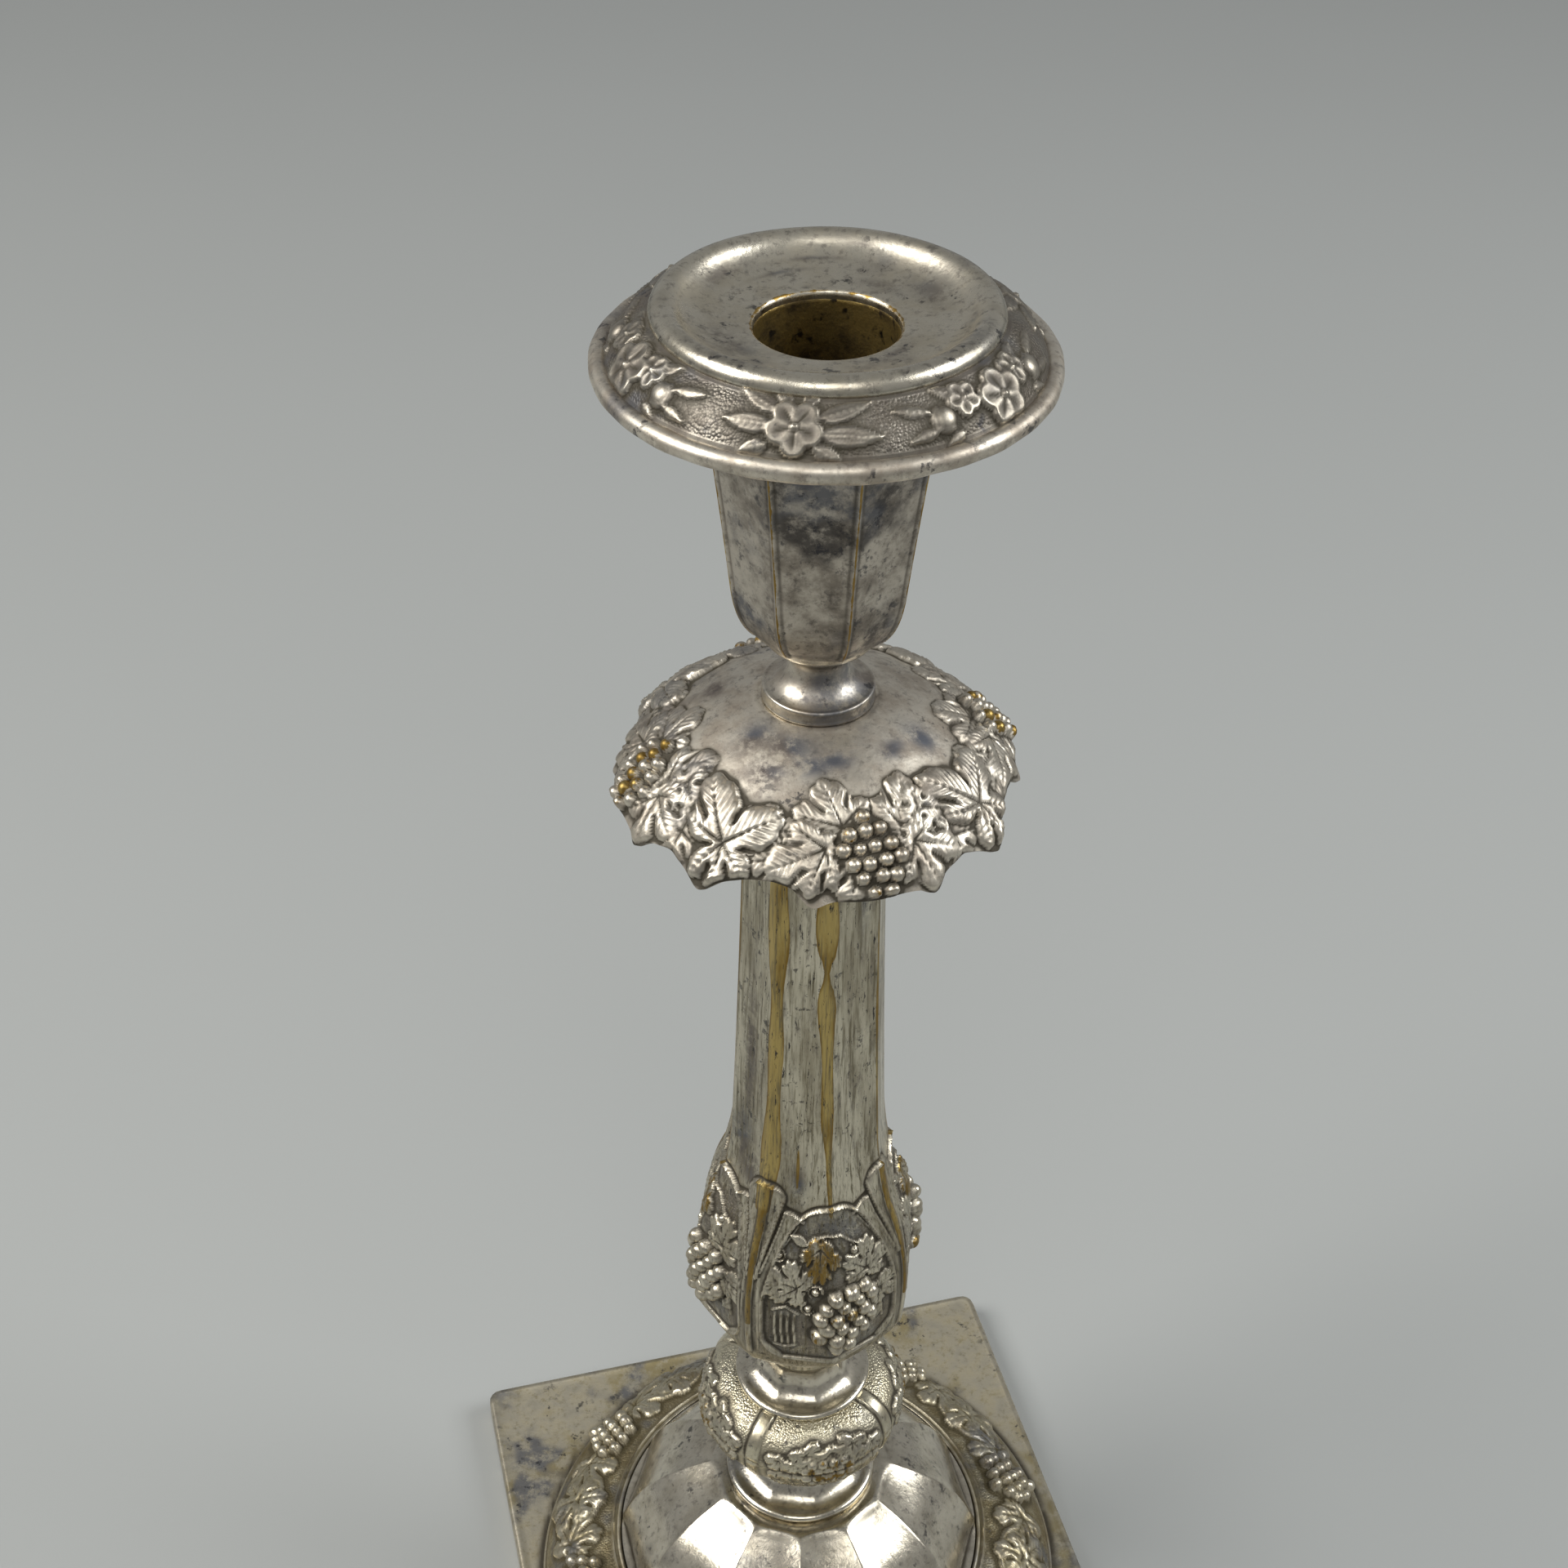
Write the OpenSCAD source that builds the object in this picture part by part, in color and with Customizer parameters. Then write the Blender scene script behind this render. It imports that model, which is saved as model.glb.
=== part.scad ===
// Silver-plated candlestick: square foot with a vine ring and a faceted dome, knop between two
// spools, octagonal baluster stem, leaf canopy, tulip socket and a loose nozzle that lifts out.
// A tie rod inside pulls the whole stack of struck shells together.
// Millimetres, +Z up, origin on the table under the middle of the foot.

/* [Foot] */
// Side of the square foot plate
foot_w = 130.8; // [126:0.2:140]
// Height of the plate's top above the table
foot_h = 7; // [5:0.5:12]
// Corner radius of the foot plate
foot_corner_r = 3; // [1:0.5:8]
// Width of the lip turned in under the skirt
foot_lip = 4; // [2:0.5:8]
// Outer radius of the raised vine ring
ring_r = 60.3; // [56:0.1:62]
// Radius where the vine ring meets the dome
dome_r = 43.6; // [41:0.1:46]
// Height of the vine ring above the plate
ring_h = 14.6; // [12:0.2:17]
// Height of the dome's top above the plate
dome_h = 38; // [34:0.5:42]
// Number of flat facets on the dome
dome_facets = 12; // [8:4:16]

/* [Knop and spools] */
// Radius of the lower spool's rim
low_rim_r = 17; // [16:0.1:18]
// Height of the lower spool
low_spool_h = 17; // [15:0.5:20]
// Largest radius of the knop
knop_r = 22.4; // [21:0.1:25]
// Height of the knop
knop_h = 18; // [16:0.5:20]
// Radius of the upper spool's rim
up_rim_r = 14.8; // [14:0.1:16]
// Height of the upper spool
up_spool_h = 10.5; // [9:0.5:13]

/* [Stem] */
// Number of flat sides of the stem and the socket
sides = 8; // [6:2:10]
// Corner radius of the stem's bulb
bulb_r = 23.3; // [22:0.1:26]
// Height of the stem from the upper spool to the canopy
stem_h = 171.3; // [160:0.1:190]
// Corner radius of the stem above the bulb
stem_low_r = 15.8; // [15:0.1:17]
// Corner radius of the stem under the canopy
stem_top_r = 12.9; // [11.5:0.1:14]

/* [Canopy and neck] */
// Radius of the sphere that the canopy is cut from
canopy_sphere_r = 44; // [42:0.5:48]
// Radius of the leaf tips
leaf_tip_r = 36.8; // [34:0.1:38]
// Radius of the notches between the leaf tips
leaf_notch_r = 34; // [30:0.1:34]
// Radius of the flange that holds the canopy down
flange_r = 10; // [9:0.1:12]
// Height of the neck from the canopy to the socket
neck_h = 10.7; // [9:0.1:14]
// Radius of the neck at its narrowest
neck_r = 4.8; // [4.6:0.1:6]

/* [Socket] */
// Height of the socket from the neck to its top
socket_h = 56.8; // [54:0.1:62]
// Corner radius of the socket above its bowl
socket_low_r = 15.4; // [14.5:0.1:16.5]
// Corner radius of the socket at its top
socket_top_r = 20.8; // [20:0.1:22]

/* [Nozzle] */
// Radius of the hole for the candle
candle_r = 11.3; // [10.5:0.1:11.5]
// Depth of the hole for the candle
candle_depth = 24; // [20:1:28]
// Radius of the wax dish at its rim
dish_r = 27.2; // [26:0.1:29]
// Depth of the wax dish
dish_depth = 4.8; // [4:0.1:6]
// Radius of the wire around the pan
pan_r = 36.5; // [35:0.1:38]
// Drop of the pan from the dish rim to the middle of its wire
pan_drop = 10.3; // [9:0.1:11]

/* [Metal and hardware] */
// Thickness of the struck sheet
sheet = 1; // [0.8:0.1:1.2]
// Radius of the tie rod
rod_r = 3; // [2.5:0.5:3]
// Radial play between the nozzle's tube and the socket's sleeve
nozzle_play = 0.08; // [0.02:0.01:0.1]

/* [Hidden] */
$fn = 96;

// Levels from the table up
ring_top = foot_h + ring_h;
dome_top = foot_h + dome_h;
knop_z = dome_top + low_spool_h;
knop_mid = knop_z + knop_h * 0.53;
knop_top = knop_z + knop_h;
stem_z = knop_top + up_spool_h;
stem_top = stem_z + stem_h;
neck_z = stem_top + 1.7;
cup_z = neck_z + neck_h;
socket_z = cup_z + 2.8;
socket_top = cup_z + socket_h;
gap = 0.3;
dish_z = socket_top + gap;
dish_sheet = 0.8;
rim_z = dish_z + dish_sheet + dish_depth;

// Inner hardware
rod_hole_r = rod_r + 0.3;
washer_h = 1.5;
nut_h = 5;
nut_across = 10;
shelf_z = ring_top - 1.6;
clamp_h = 1.6;
nut_z = shelf_z - clamp_h - washer_h - nut_h;
floor_z = socket_z + sheet;
top_nut_z = floor_z + 2 * washer_h;
rod_z = nut_z - 2.4;
rod_top = top_nut_z + nut_h + 3;
tube_r = candle_r + 0.85;
tube_z = dish_z + dish_sheet - candle_depth;
sleeve_r = tube_r + nozzle_play;
half_side = 180 / sides;

// Leaf tips of one quarter of the canopy, as angles from the middle of a grape cluster
leaf_tips = [0, 15, 26, 45, 64, 75];

plate_color = [0.66, 0.64, 0.58];
bright_color = [0.74, 0.73, 0.68];
brass_color = [0.71, 0.6, 0.34];
iron_color = [0.33, 0.31, 0.3];

// Quadratic curve from a to c drawn towards b, in n steps, without its last point
function bend(a, b, c, n = 5) =
    [for (i = [0:n - 1]) let (t = i / n) (1 - t) * (1 - t) * a + 2 * t * (1 - t) * b + t * t * c];

// Outline moved inwards by t along its own normals; it runs upwards with the metal on its right
function inset(p, t) = [
    for (i = [0:len(p) - 1])
        let (a = p[max(i - 1, 0)], b = p[min(i + 1, len(p) - 1)], d = [b[0] - a[0], b[1] - a[1]])
        [p[i][0] - t * d[1] / norm(d), p[i][1] + t * d[0] / norm(d), p[i][2]]
];

// Closed outline of a sheet of thickness t under the outline p
function sheet_loop(p, t) = let (q = inset(p, t)) concat(p, [for (i = [len(q) - 1:-1:0]) q[i]]);

// Radius at angle a of an n-sided outline of corner radius r; w runs from 0, round, to 1, flat sides
function faceted(r, n, a, w) =
    let (half = 180 / n, u = (a % (2 * half) + 2 * half) % (2 * half) - half)
    r * (1 - w + w * cos(half) / cos(u));

// Solid swept from angle a to b by a loop of [corner radius, height, flatness] points
module faceted_sweep(loop, n, a = 0, b = 360, steps = 2) {
    m = len(loop);
    arcs = round((b - a) / 360 * n * steps);
    closed = b - a == 360;
    cuts = closed ? arcs : arcs + 1;
    points = [
        for (i = [0:cuts - 1], p = loop)
            let (g = a + (b - a) * i / arcs, r = faceted(p[0], n, g, p[2]))
            [r * cos(g), r * sin(g), p[1]]
    ];
    walls = [
        for (i = [0:arcs - 1], j = [0:m - 1])
            let (k = (i + 1) % cuts, l = (j + 1) % m)
            each [[i * m + j, i * m + l, k * m + l], [i * m + j, k * m + l, k * m + j]]
    ];
    // An open sweep is closed at both ends by strips from the outline to its inset
    ends = closed ? [] : [
        for (j = [0:m / 2 - 2])
            let (k = m - 1 - j, strip = [[j, j + 1, k], [j + 1, k - 1, k]])
            each concat([for (t = strip) [t[2], t[1], t[0]]], [for (t = strip) [for (v = t) v + arcs * m]])
    ];
    polyhedron(points, concat(walls, ends), convexity = 6);
}

// Round shell from a loop of outline points
module turned(loop) {
    rotate_extrude() polygon([for (p = loop) [p[0], p[1]]]);
}

module disc(r, h, z, hole = rod_hole_r) {
    translate([0, 0, z]) difference() {
        cylinder(r = r, h = h);
        translate([0, 0, -1]) cylinder(r = hole, h = h + 2);
    }
}

module rounded_square(w, r) {
    square([w, w - 2 * r], center = true);
    square([w - 2 * r, w], center = true);
    for (x = [-1, 1], y = [-1, 1]) translate([x, y] * (w / 2 - r)) circle(r = r);
}

module hex_nut(z) {
    translate([0, 0, z]) difference() {
        cylinder(r = nut_across / 2 / cos(30), h = nut_h, $fn = 6);
        translate([0, 0, -1]) cylinder(r = rod_r + 0.02, h = nut_h + 2);
    }
}

// Foot: a square pan with its edge turned in, open in the middle under the ring
module base_plate() {
    inner_w = foot_w - 2 * sheet;
    color(plate_color) difference() {
        linear_extrude(foot_h) rounded_square(foot_w, foot_corner_r);
        translate([0, 0, sheet]) linear_extrude(foot_h - 2 * sheet)
            rounded_square(inner_w, foot_corner_r - sheet / 2);
        translate([0, 0, -1]) linear_extrude(sheet + 2)
            rounded_square(foot_w - 2 * foot_lip, foot_corner_r - sheet / 2);
        cylinder(r = ring_r - 4, h = foot_h + 1);
    }
}

// Raised ring that carries the vine, with a double bead at its top and a shelf under the dome
module vine_ring() {
    crown = [dome_r + 2.4, ring_top - 1.2, 0];
    slope = concat([[ring_r + 0.9, foot_h, 0], [ring_r + 0.4, foot_h + 1, 0]],
                   bend([ring_r, foot_h + 1.6, 0], [ring_r - 4.6, ring_top - 1.8, 0], crown, 8),
                   [crown]);
    color(plate_color) union() {
        turned(sheet_loop(slope, sheet));
        disc(dome_r + 2.2, sheet + 0.3, shelf_z, dome_r - 6);
        for (r = [dome_r + 0.8, dome_r + 2.3])
            rotate_extrude() translate([r, ring_top - 0.6]) circle(r = 0.7, $fn = 24);
    }
}

// Twelve-sided dome that turns round towards its top
module base_dome() {
    edge = [dome_r - 0.2, shelf_z + sheet + 0.35, 1];
    side = concat([edge], bend([dome_r - 0.4, ring_top + 1, 1], [dome_r - 5, dome_top - 8, 1],
                               [dome_r / 2 + 1, dome_top - 1.6, 0], 8),
                  [[low_rim_r + 2.5, dome_top, 0], [rod_hole_r, dome_top, 0]]);
    color(plate_color) rotate([0, 0, 180 / dome_facets])
        faceted_sweep(sheet_loop(side, sheet), dome_facets);
}

// Iron disc drawn up against the shelf of the ring
module clamp_disc() { color(iron_color) disc(dome_r - 1, clamp_h, shelf_z - clamp_h); }

module foot_washer() { color(iron_color) disc(9, washer_h, shelf_z - clamp_h - washer_h); }

module foot_nut() { color(iron_color) hex_nut(nut_z); }

// Faceted flare on a round rim; the neck radius is where the flare is narrowest
module spool(z, h, rim_r, rim_h, neck, top_r) {
    base = [[rod_hole_r, z, 0], [rim_r - 2.2, z, 0], [rim_r - 1.6, z + rim_h - 2.6, 0],
            [rim_r, z + rim_h - 2, 0], [rim_r, z + rim_h - 0.4, 0], [rim_r - 0.5, z + rim_h, 0],
            [rim_r - 1.8, z + rim_h + 0.2, 0]];
    flare = concat(bend([rim_r - 2, z + rim_h + 0.3, 1], [neck, z + rim_h + 0.8, 1],
                        [neck, z + h * 0.82, 1], 6),
                   [[top_r, z + h, 0]]);
    hollow = [[top_r - sheet, z + h, 0], [neck - sheet, z + h * 0.7, 0],
              [rod_hole_r + 1, z + rim_h, 0], [rod_hole_r, z + rim_h, 0]];
    faceted_sweep(concat(base, flare, hollow), sides);
}

module lower_spool() { color(bright_color) spool(dome_top, low_spool_h, low_rim_r, 5, 9.8, 11.5); }

module upper_spool() { color(bright_color) spool(knop_top, up_spool_h, up_rim_r, 2.6, 8.8, 9.3); }

// Knop struck as two round shells that meet at its widest
module knop_lower_shell() {
    side = concat([[rod_hole_r, knop_z, 0]],
                  bend([12, knop_z, 0], [knop_r - 0.4, knop_z + 0.4, 0], [knop_r, knop_mid - 0.5, 0], 8),
                  [[knop_r, knop_mid - 0.5, 0], [knop_r, knop_mid, 0]]);
    color(plate_color) turned(sheet_loop(side, sheet));
}

module knop_upper_shell() {
    side = concat([[knop_r, knop_mid, 0]],
                  bend([knop_r, knop_mid + 0.5, 0], [knop_r - 0.6, knop_top - 0.3, 0], [13, knop_top, 0], 8),
                  [[13, knop_top, 0], [rod_hole_r, knop_top, 0]]);
    color(plate_color) turned(sheet_loop(side, sheet));
}

// Outline of the stem: foot, bulb, shoulder and tapering shaft
function stem_outline() = let (
    foot = [9.3, stem_z, 0],
    waist = [14.2, stem_z + 9.8, 0],
    belly = [bulb_r - 1.1, stem_z + 19.6, 0.9],
    brow = [bulb_r - 0.2, stem_z + 35, 1],
    shoulder = [stem_low_r + 2.8, stem_z + 54, 1],
    shaft = [stem_low_r, stem_z + 71, 1],
    top = [stem_top_r, stem_top, 1]
) concat(bend(foot, [9.4, stem_z + 8.2, 0], waist, 4),
         bend(waist, [bulb_r - 3.9, stem_z + 11.6, 0.2], belly, 5),
         bend(belly, [bulb_r + 0.1, stem_z + 25.5, 1], brow, 3),
         bend(brow, [bulb_r - 0.8, stem_z + 45, 1], shoulder, 5),
         bend(shoulder, [stem_low_r + 0.9, stem_z + 61, 1], shaft, 4),
         bend(shaft, [stem_low_r - 1.7, stem_z + 110, 1], top, 4),
         [top]);

// The stem is struck as two halves, soldered along two of its corners
module stem_half(a) { faceted_sweep(sheet_loop(stem_outline(), sheet), sides, a, a + 180); }

module stem_left_half() { color(plate_color) stem_half(45); }

module stem_right_half() { color(plate_color) stem_half(225); }

module stem_foot_disc() { color(brass_color) disc(8.3, washer_h, stem_z + 0.1); }

module stem_top_disc() {
    color(brass_color) disc((stem_top_r - sheet) * cos(half_side), washer_h, stem_top - washer_h);
}

// Dome of leaves: a cap of a sphere trimmed to the leaf tips, with a flat seat for the flange
module canopy() {
    seat_r = flange_r + 0.4;
    apex = neck_z + canopy_sphere_r - sqrt(pow(canopy_sphere_r, 2) - pow(seat_r, 2));
    function cap_z(r) = apex - canopy_sphere_r + sqrt(pow(canopy_sphere_r, 2) - r * r);
    reach = leaf_tip_r + 0.5;
    dome = concat([for (i = [0:8]) let (r = reach + (seat_r - reach) * i / 8) [r, cap_z(r), 0]],
                  [[rod_hole_r, neck_z, 0]]);
    count = len(leaf_tips);
    outline = [
        for (q = [0:3], i = [0:count - 1])
            let (a = leaf_tips[i] + 90 * q, b = (i + 1 < count ? leaf_tips[i + 1] : 90) + 90 * q)
            each [leaf_tip_r * [cos(a), sin(a)], leaf_notch_r * [cos((a + b) / 2), sin((a + b) / 2)]]
    ];
    color(plate_color) intersection() {
        turned(sheet_loop(dome, sheet));
        translate([0, 0, neck_z - 40]) linear_extrude(60) polygon(outline);
    }
}

// Turned neck with the flange that holds the canopy down
module neck() {
    side = concat([[rod_hole_r, neck_z, 0], [flange_r - 0.5, neck_z, 0], [flange_r, neck_z + 0.6, 0],
                   [flange_r, neck_z + 2.6, 0]],
                  bend([flange_r - 0.8, neck_z + 3.8, 0], [neck_r, neck_z + 3.9, 0],
                       [neck_r, neck_z + 6, 0], 5),
                  [[neck_r, neck_z + 6.4, 0], [neck_r + 0.6, neck_z + neck_h - 2.4, 0],
                   [neck_r + 0.9, neck_z + neck_h, 0], [rod_hole_r, neck_z + neck_h, 0]]);
    color(bright_color) turned(side);
}

// Small round bowl between the neck and the faceted socket
module socket_cup() {
    side = concat([[rod_hole_r, cup_z, 0]],
                  bend([6, cup_z, 0], [9.4, cup_z + 0.2, 0], [9.8, socket_z, 0], 5),
                  [[9.8, socket_z, 0], [rod_hole_r, socket_z, 0]]);
    color(bright_color) turned(side);
}

// Eight-sided tulip, turned in under the floor plate at its foot
module socket_shell() {
    throat = [socket_low_r, socket_z + 11.5, 1];
    side = concat([[rod_hole_r, socket_z, 0]],
                  bend([10, socket_z, 0.5], [socket_low_r - 0.9, socket_z + 2.2, 1], throat, 6),
                  bend(throat, [socket_low_r + 2, socket_z + 30, 1], [socket_top_r, socket_top, 1], 4),
                  [[socket_top_r, socket_top, 1]]);
    color(bright_color) faceted_sweep(sheet_loop(side, sheet), sides);
}

module socket_floor() { color(brass_color) disc(9.2, washer_h, floor_z); }

// Guide for the nozzle's tube, hung from a flange across the socket's top
module socket_sleeve() {
    color(brass_color) union() {
        disc(sleeve_r + 0.8, candle_depth + 4, socket_top - candle_depth - 4, sleeve_r);
        disc((socket_top_r - sheet) * cos(half_side), sheet, socket_top - sheet, sleeve_r);
    }
}

module top_washer() { color(iron_color) disc(6.5, washer_h, floor_z + washer_h); }

module top_nut() { color(iron_color) hex_nut(top_nut_z); }

module tie_rod() { color(iron_color) translate([0, 0, rod_z]) cylinder(r = rod_r, h = rod_top - rod_z); }

// Nozzle: everything below lifts out of the socket together
module nozzle_tube() {
    color(brass_color) disc(tube_r, candle_depth + 0.3, tube_z, candle_r);
}

module nozzle_stop() {
    color(brass_color) translate([0, 0, tube_z - sheet]) cylinder(r = tube_r, h = sheet);
}

module nozzle_dish() {
    floor_top = dish_z + dish_sheet;
    side = concat([[tube_r + 0.05, floor_top, 0], [dish_r - 7, floor_top + 0.5, 0]],
                  bend([dish_r - 5, floor_top + 0.8, 0], [dish_r - 2, floor_top + 1.4, 0],
                       [dish_r - 1.4, rim_z - 1.3, 0], 6),
                  [[dish_r - 1.4, rim_z - 1.3, 0]]);
    color(bright_color) union() {
        turned([for (p = side) p, for (i = [len(side) - 1:-1:0]) [side[i][0], side[i][1] - dish_sheet, 0]]);
        rotate_extrude() translate([dish_r - 0.9, rim_z - 0.9]) circle(r = 0.9, $fn = 24);
    }
}

module nozzle_band() {
    wire_z = rim_z - pan_drop;
    top = [dish_r - 0.3, rim_z - 1.3, 0];
    low = [pan_r - 1.6, wire_z + 0.7, 0];
    side = concat(bend(low, [pan_r - 3.6, rim_z - 4.2, 0], top, 6), [top]);
    color(plate_color) turned(sheet_loop(side, dish_sheet));
}

module nozzle_rim_wire() {
    color(bright_color) rotate_extrude()
        translate([pan_r - 1.2, rim_z - pan_drop]) circle(r = 1.2, $fn = 32);
}

base_plate();
vine_ring();
base_dome();
clamp_disc();
foot_washer();
foot_nut();
lower_spool();
knop_lower_shell();
knop_upper_shell();
upper_spool();
stem_left_half();
stem_right_half();
stem_foot_disc();
stem_top_disc();
canopy();
neck();
socket_cup();
socket_shell();
socket_floor();
socket_sleeve();
top_washer();
top_nut();
tie_rod();
nozzle_tube();
nozzle_stop();
nozzle_dish();
nozzle_band();
nozzle_rim_wire();
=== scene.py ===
"""Looks of the silver-plated candlestick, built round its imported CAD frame.

Every struck shell is a dense grid round the axis: the outline runs across it and the relief of leaves,
grapes and flowers is raised on it along its normals. Lengths are in millimetres until make_mesh().
Angles are in degrees; -90 faces the front of the foot. s is the length along an outline from its start.
"""

import bpy
import numpy as np
from mathutils import Matrix, Vector


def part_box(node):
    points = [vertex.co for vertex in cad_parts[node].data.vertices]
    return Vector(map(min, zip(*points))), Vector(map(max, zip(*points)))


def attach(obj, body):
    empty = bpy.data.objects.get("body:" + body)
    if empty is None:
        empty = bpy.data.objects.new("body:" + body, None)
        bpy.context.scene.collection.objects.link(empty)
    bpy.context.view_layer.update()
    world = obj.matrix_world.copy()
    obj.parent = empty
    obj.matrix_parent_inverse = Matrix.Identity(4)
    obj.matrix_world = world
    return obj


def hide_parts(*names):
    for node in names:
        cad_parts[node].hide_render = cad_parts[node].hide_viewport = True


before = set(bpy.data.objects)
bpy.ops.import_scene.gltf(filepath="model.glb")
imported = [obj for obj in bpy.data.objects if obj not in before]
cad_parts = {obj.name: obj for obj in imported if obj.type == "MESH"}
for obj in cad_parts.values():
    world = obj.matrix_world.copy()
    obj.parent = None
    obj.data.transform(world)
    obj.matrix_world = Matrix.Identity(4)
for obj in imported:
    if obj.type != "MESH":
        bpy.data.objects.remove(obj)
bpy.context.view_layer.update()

MM = 0.001
STEP = 0.36
rng = np.random.default_rng(7)


def level(node, top=False):
    """Height of a CAD node's lower or upper end in millimetres."""
    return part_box(node)[1 if top else 0].z / MM


def half_width(node):
    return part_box(node)[1].x / MM


# ---------------------------------------------------------------- outlines


def curve(a, b, c, n=24):
    """Quadratic curve from a to c drawn towards b, without its last point."""
    t = np.linspace(0, 1, n, endpoint=False)[:, None]
    a, b, c = (np.array(p, float) for p in (a, b, c))
    return (1 - t) ** 2 * a + 2 * t * (1 - t) * b + t**2 * c


def arc(centre, radius, start, end, n=16):
    """Round stretch of an outline about centre, from the angle start to the angle end."""
    a = np.radians(np.linspace(start, end, n))
    return np.stack([centre[0] + radius * np.cos(a), centre[1] + radius * np.sin(a)], 1)


def outline(*parts, step=STEP, coarse=()):
    """Joins points and curves and spaces them by step; coarse lists (from height, to height, step)."""
    rows = np.concatenate([np.atleast_2d(np.array(p, float)) for p in parts])
    gaps = np.linalg.norm(np.diff(rows[:, :2], axis=0), axis=1)
    rows = rows[np.concatenate([[True], gaps > 1e-6])]
    gaps = np.linalg.norm(np.diff(rows[:, :2], axis=0), axis=1)
    s = np.concatenate([[0], np.cumsum(gaps)])
    spots, here = [], 0.0
    while here < s[-1]:
        spots.append(here)
        z = np.interp(here, s, rows[:, 1])
        size = step
        for low, high, wide in coarse:
            if low <= z <= high:
                size = wide
        here += size
    spots.append(s[-1])
    return np.stack([np.interp(spots, s, rows[:, k]) for k in range(rows.shape[1])], 1)


def blur(a, size, wrap):
    """Box blur over about size cells each way, done twice, closed round the axis if wrap."""
    for _ in range(2):
        for axis in (0, 1):
            n = max(1, int(size))
            mode = "wrap" if axis == 1 and wrap else "edge"
            pad = [(0, 0), (0, 0)]
            pad[axis] = (n + 1, n)
            c = np.cumsum(np.pad(a, pad, mode=mode), axis=axis)
            m = c.shape[axis]
            high = np.take(c, range(2 * n + 1, m), axis=axis)
            low = np.take(c, range(0, m - 2 * n - 1), axis=axis)
            a = (high - low) / (2 * n + 1)
    return a


def soft_step(x, low, high):
    t = np.clip((x - low) / (high - low), 0, 1)
    return t * t * (3 - 2 * t)


def hill(x):
    """Bell curve, 1 where x is 0."""
    return np.exp(-(x**2))


def around(r, phi, z):
    """Points at radius r, angle phi in radians and height z."""
    x = r * np.cos(phi)
    return np.stack([x, r * np.sin(phi), np.broadcast_to(z, x.shape)], -1)


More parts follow.
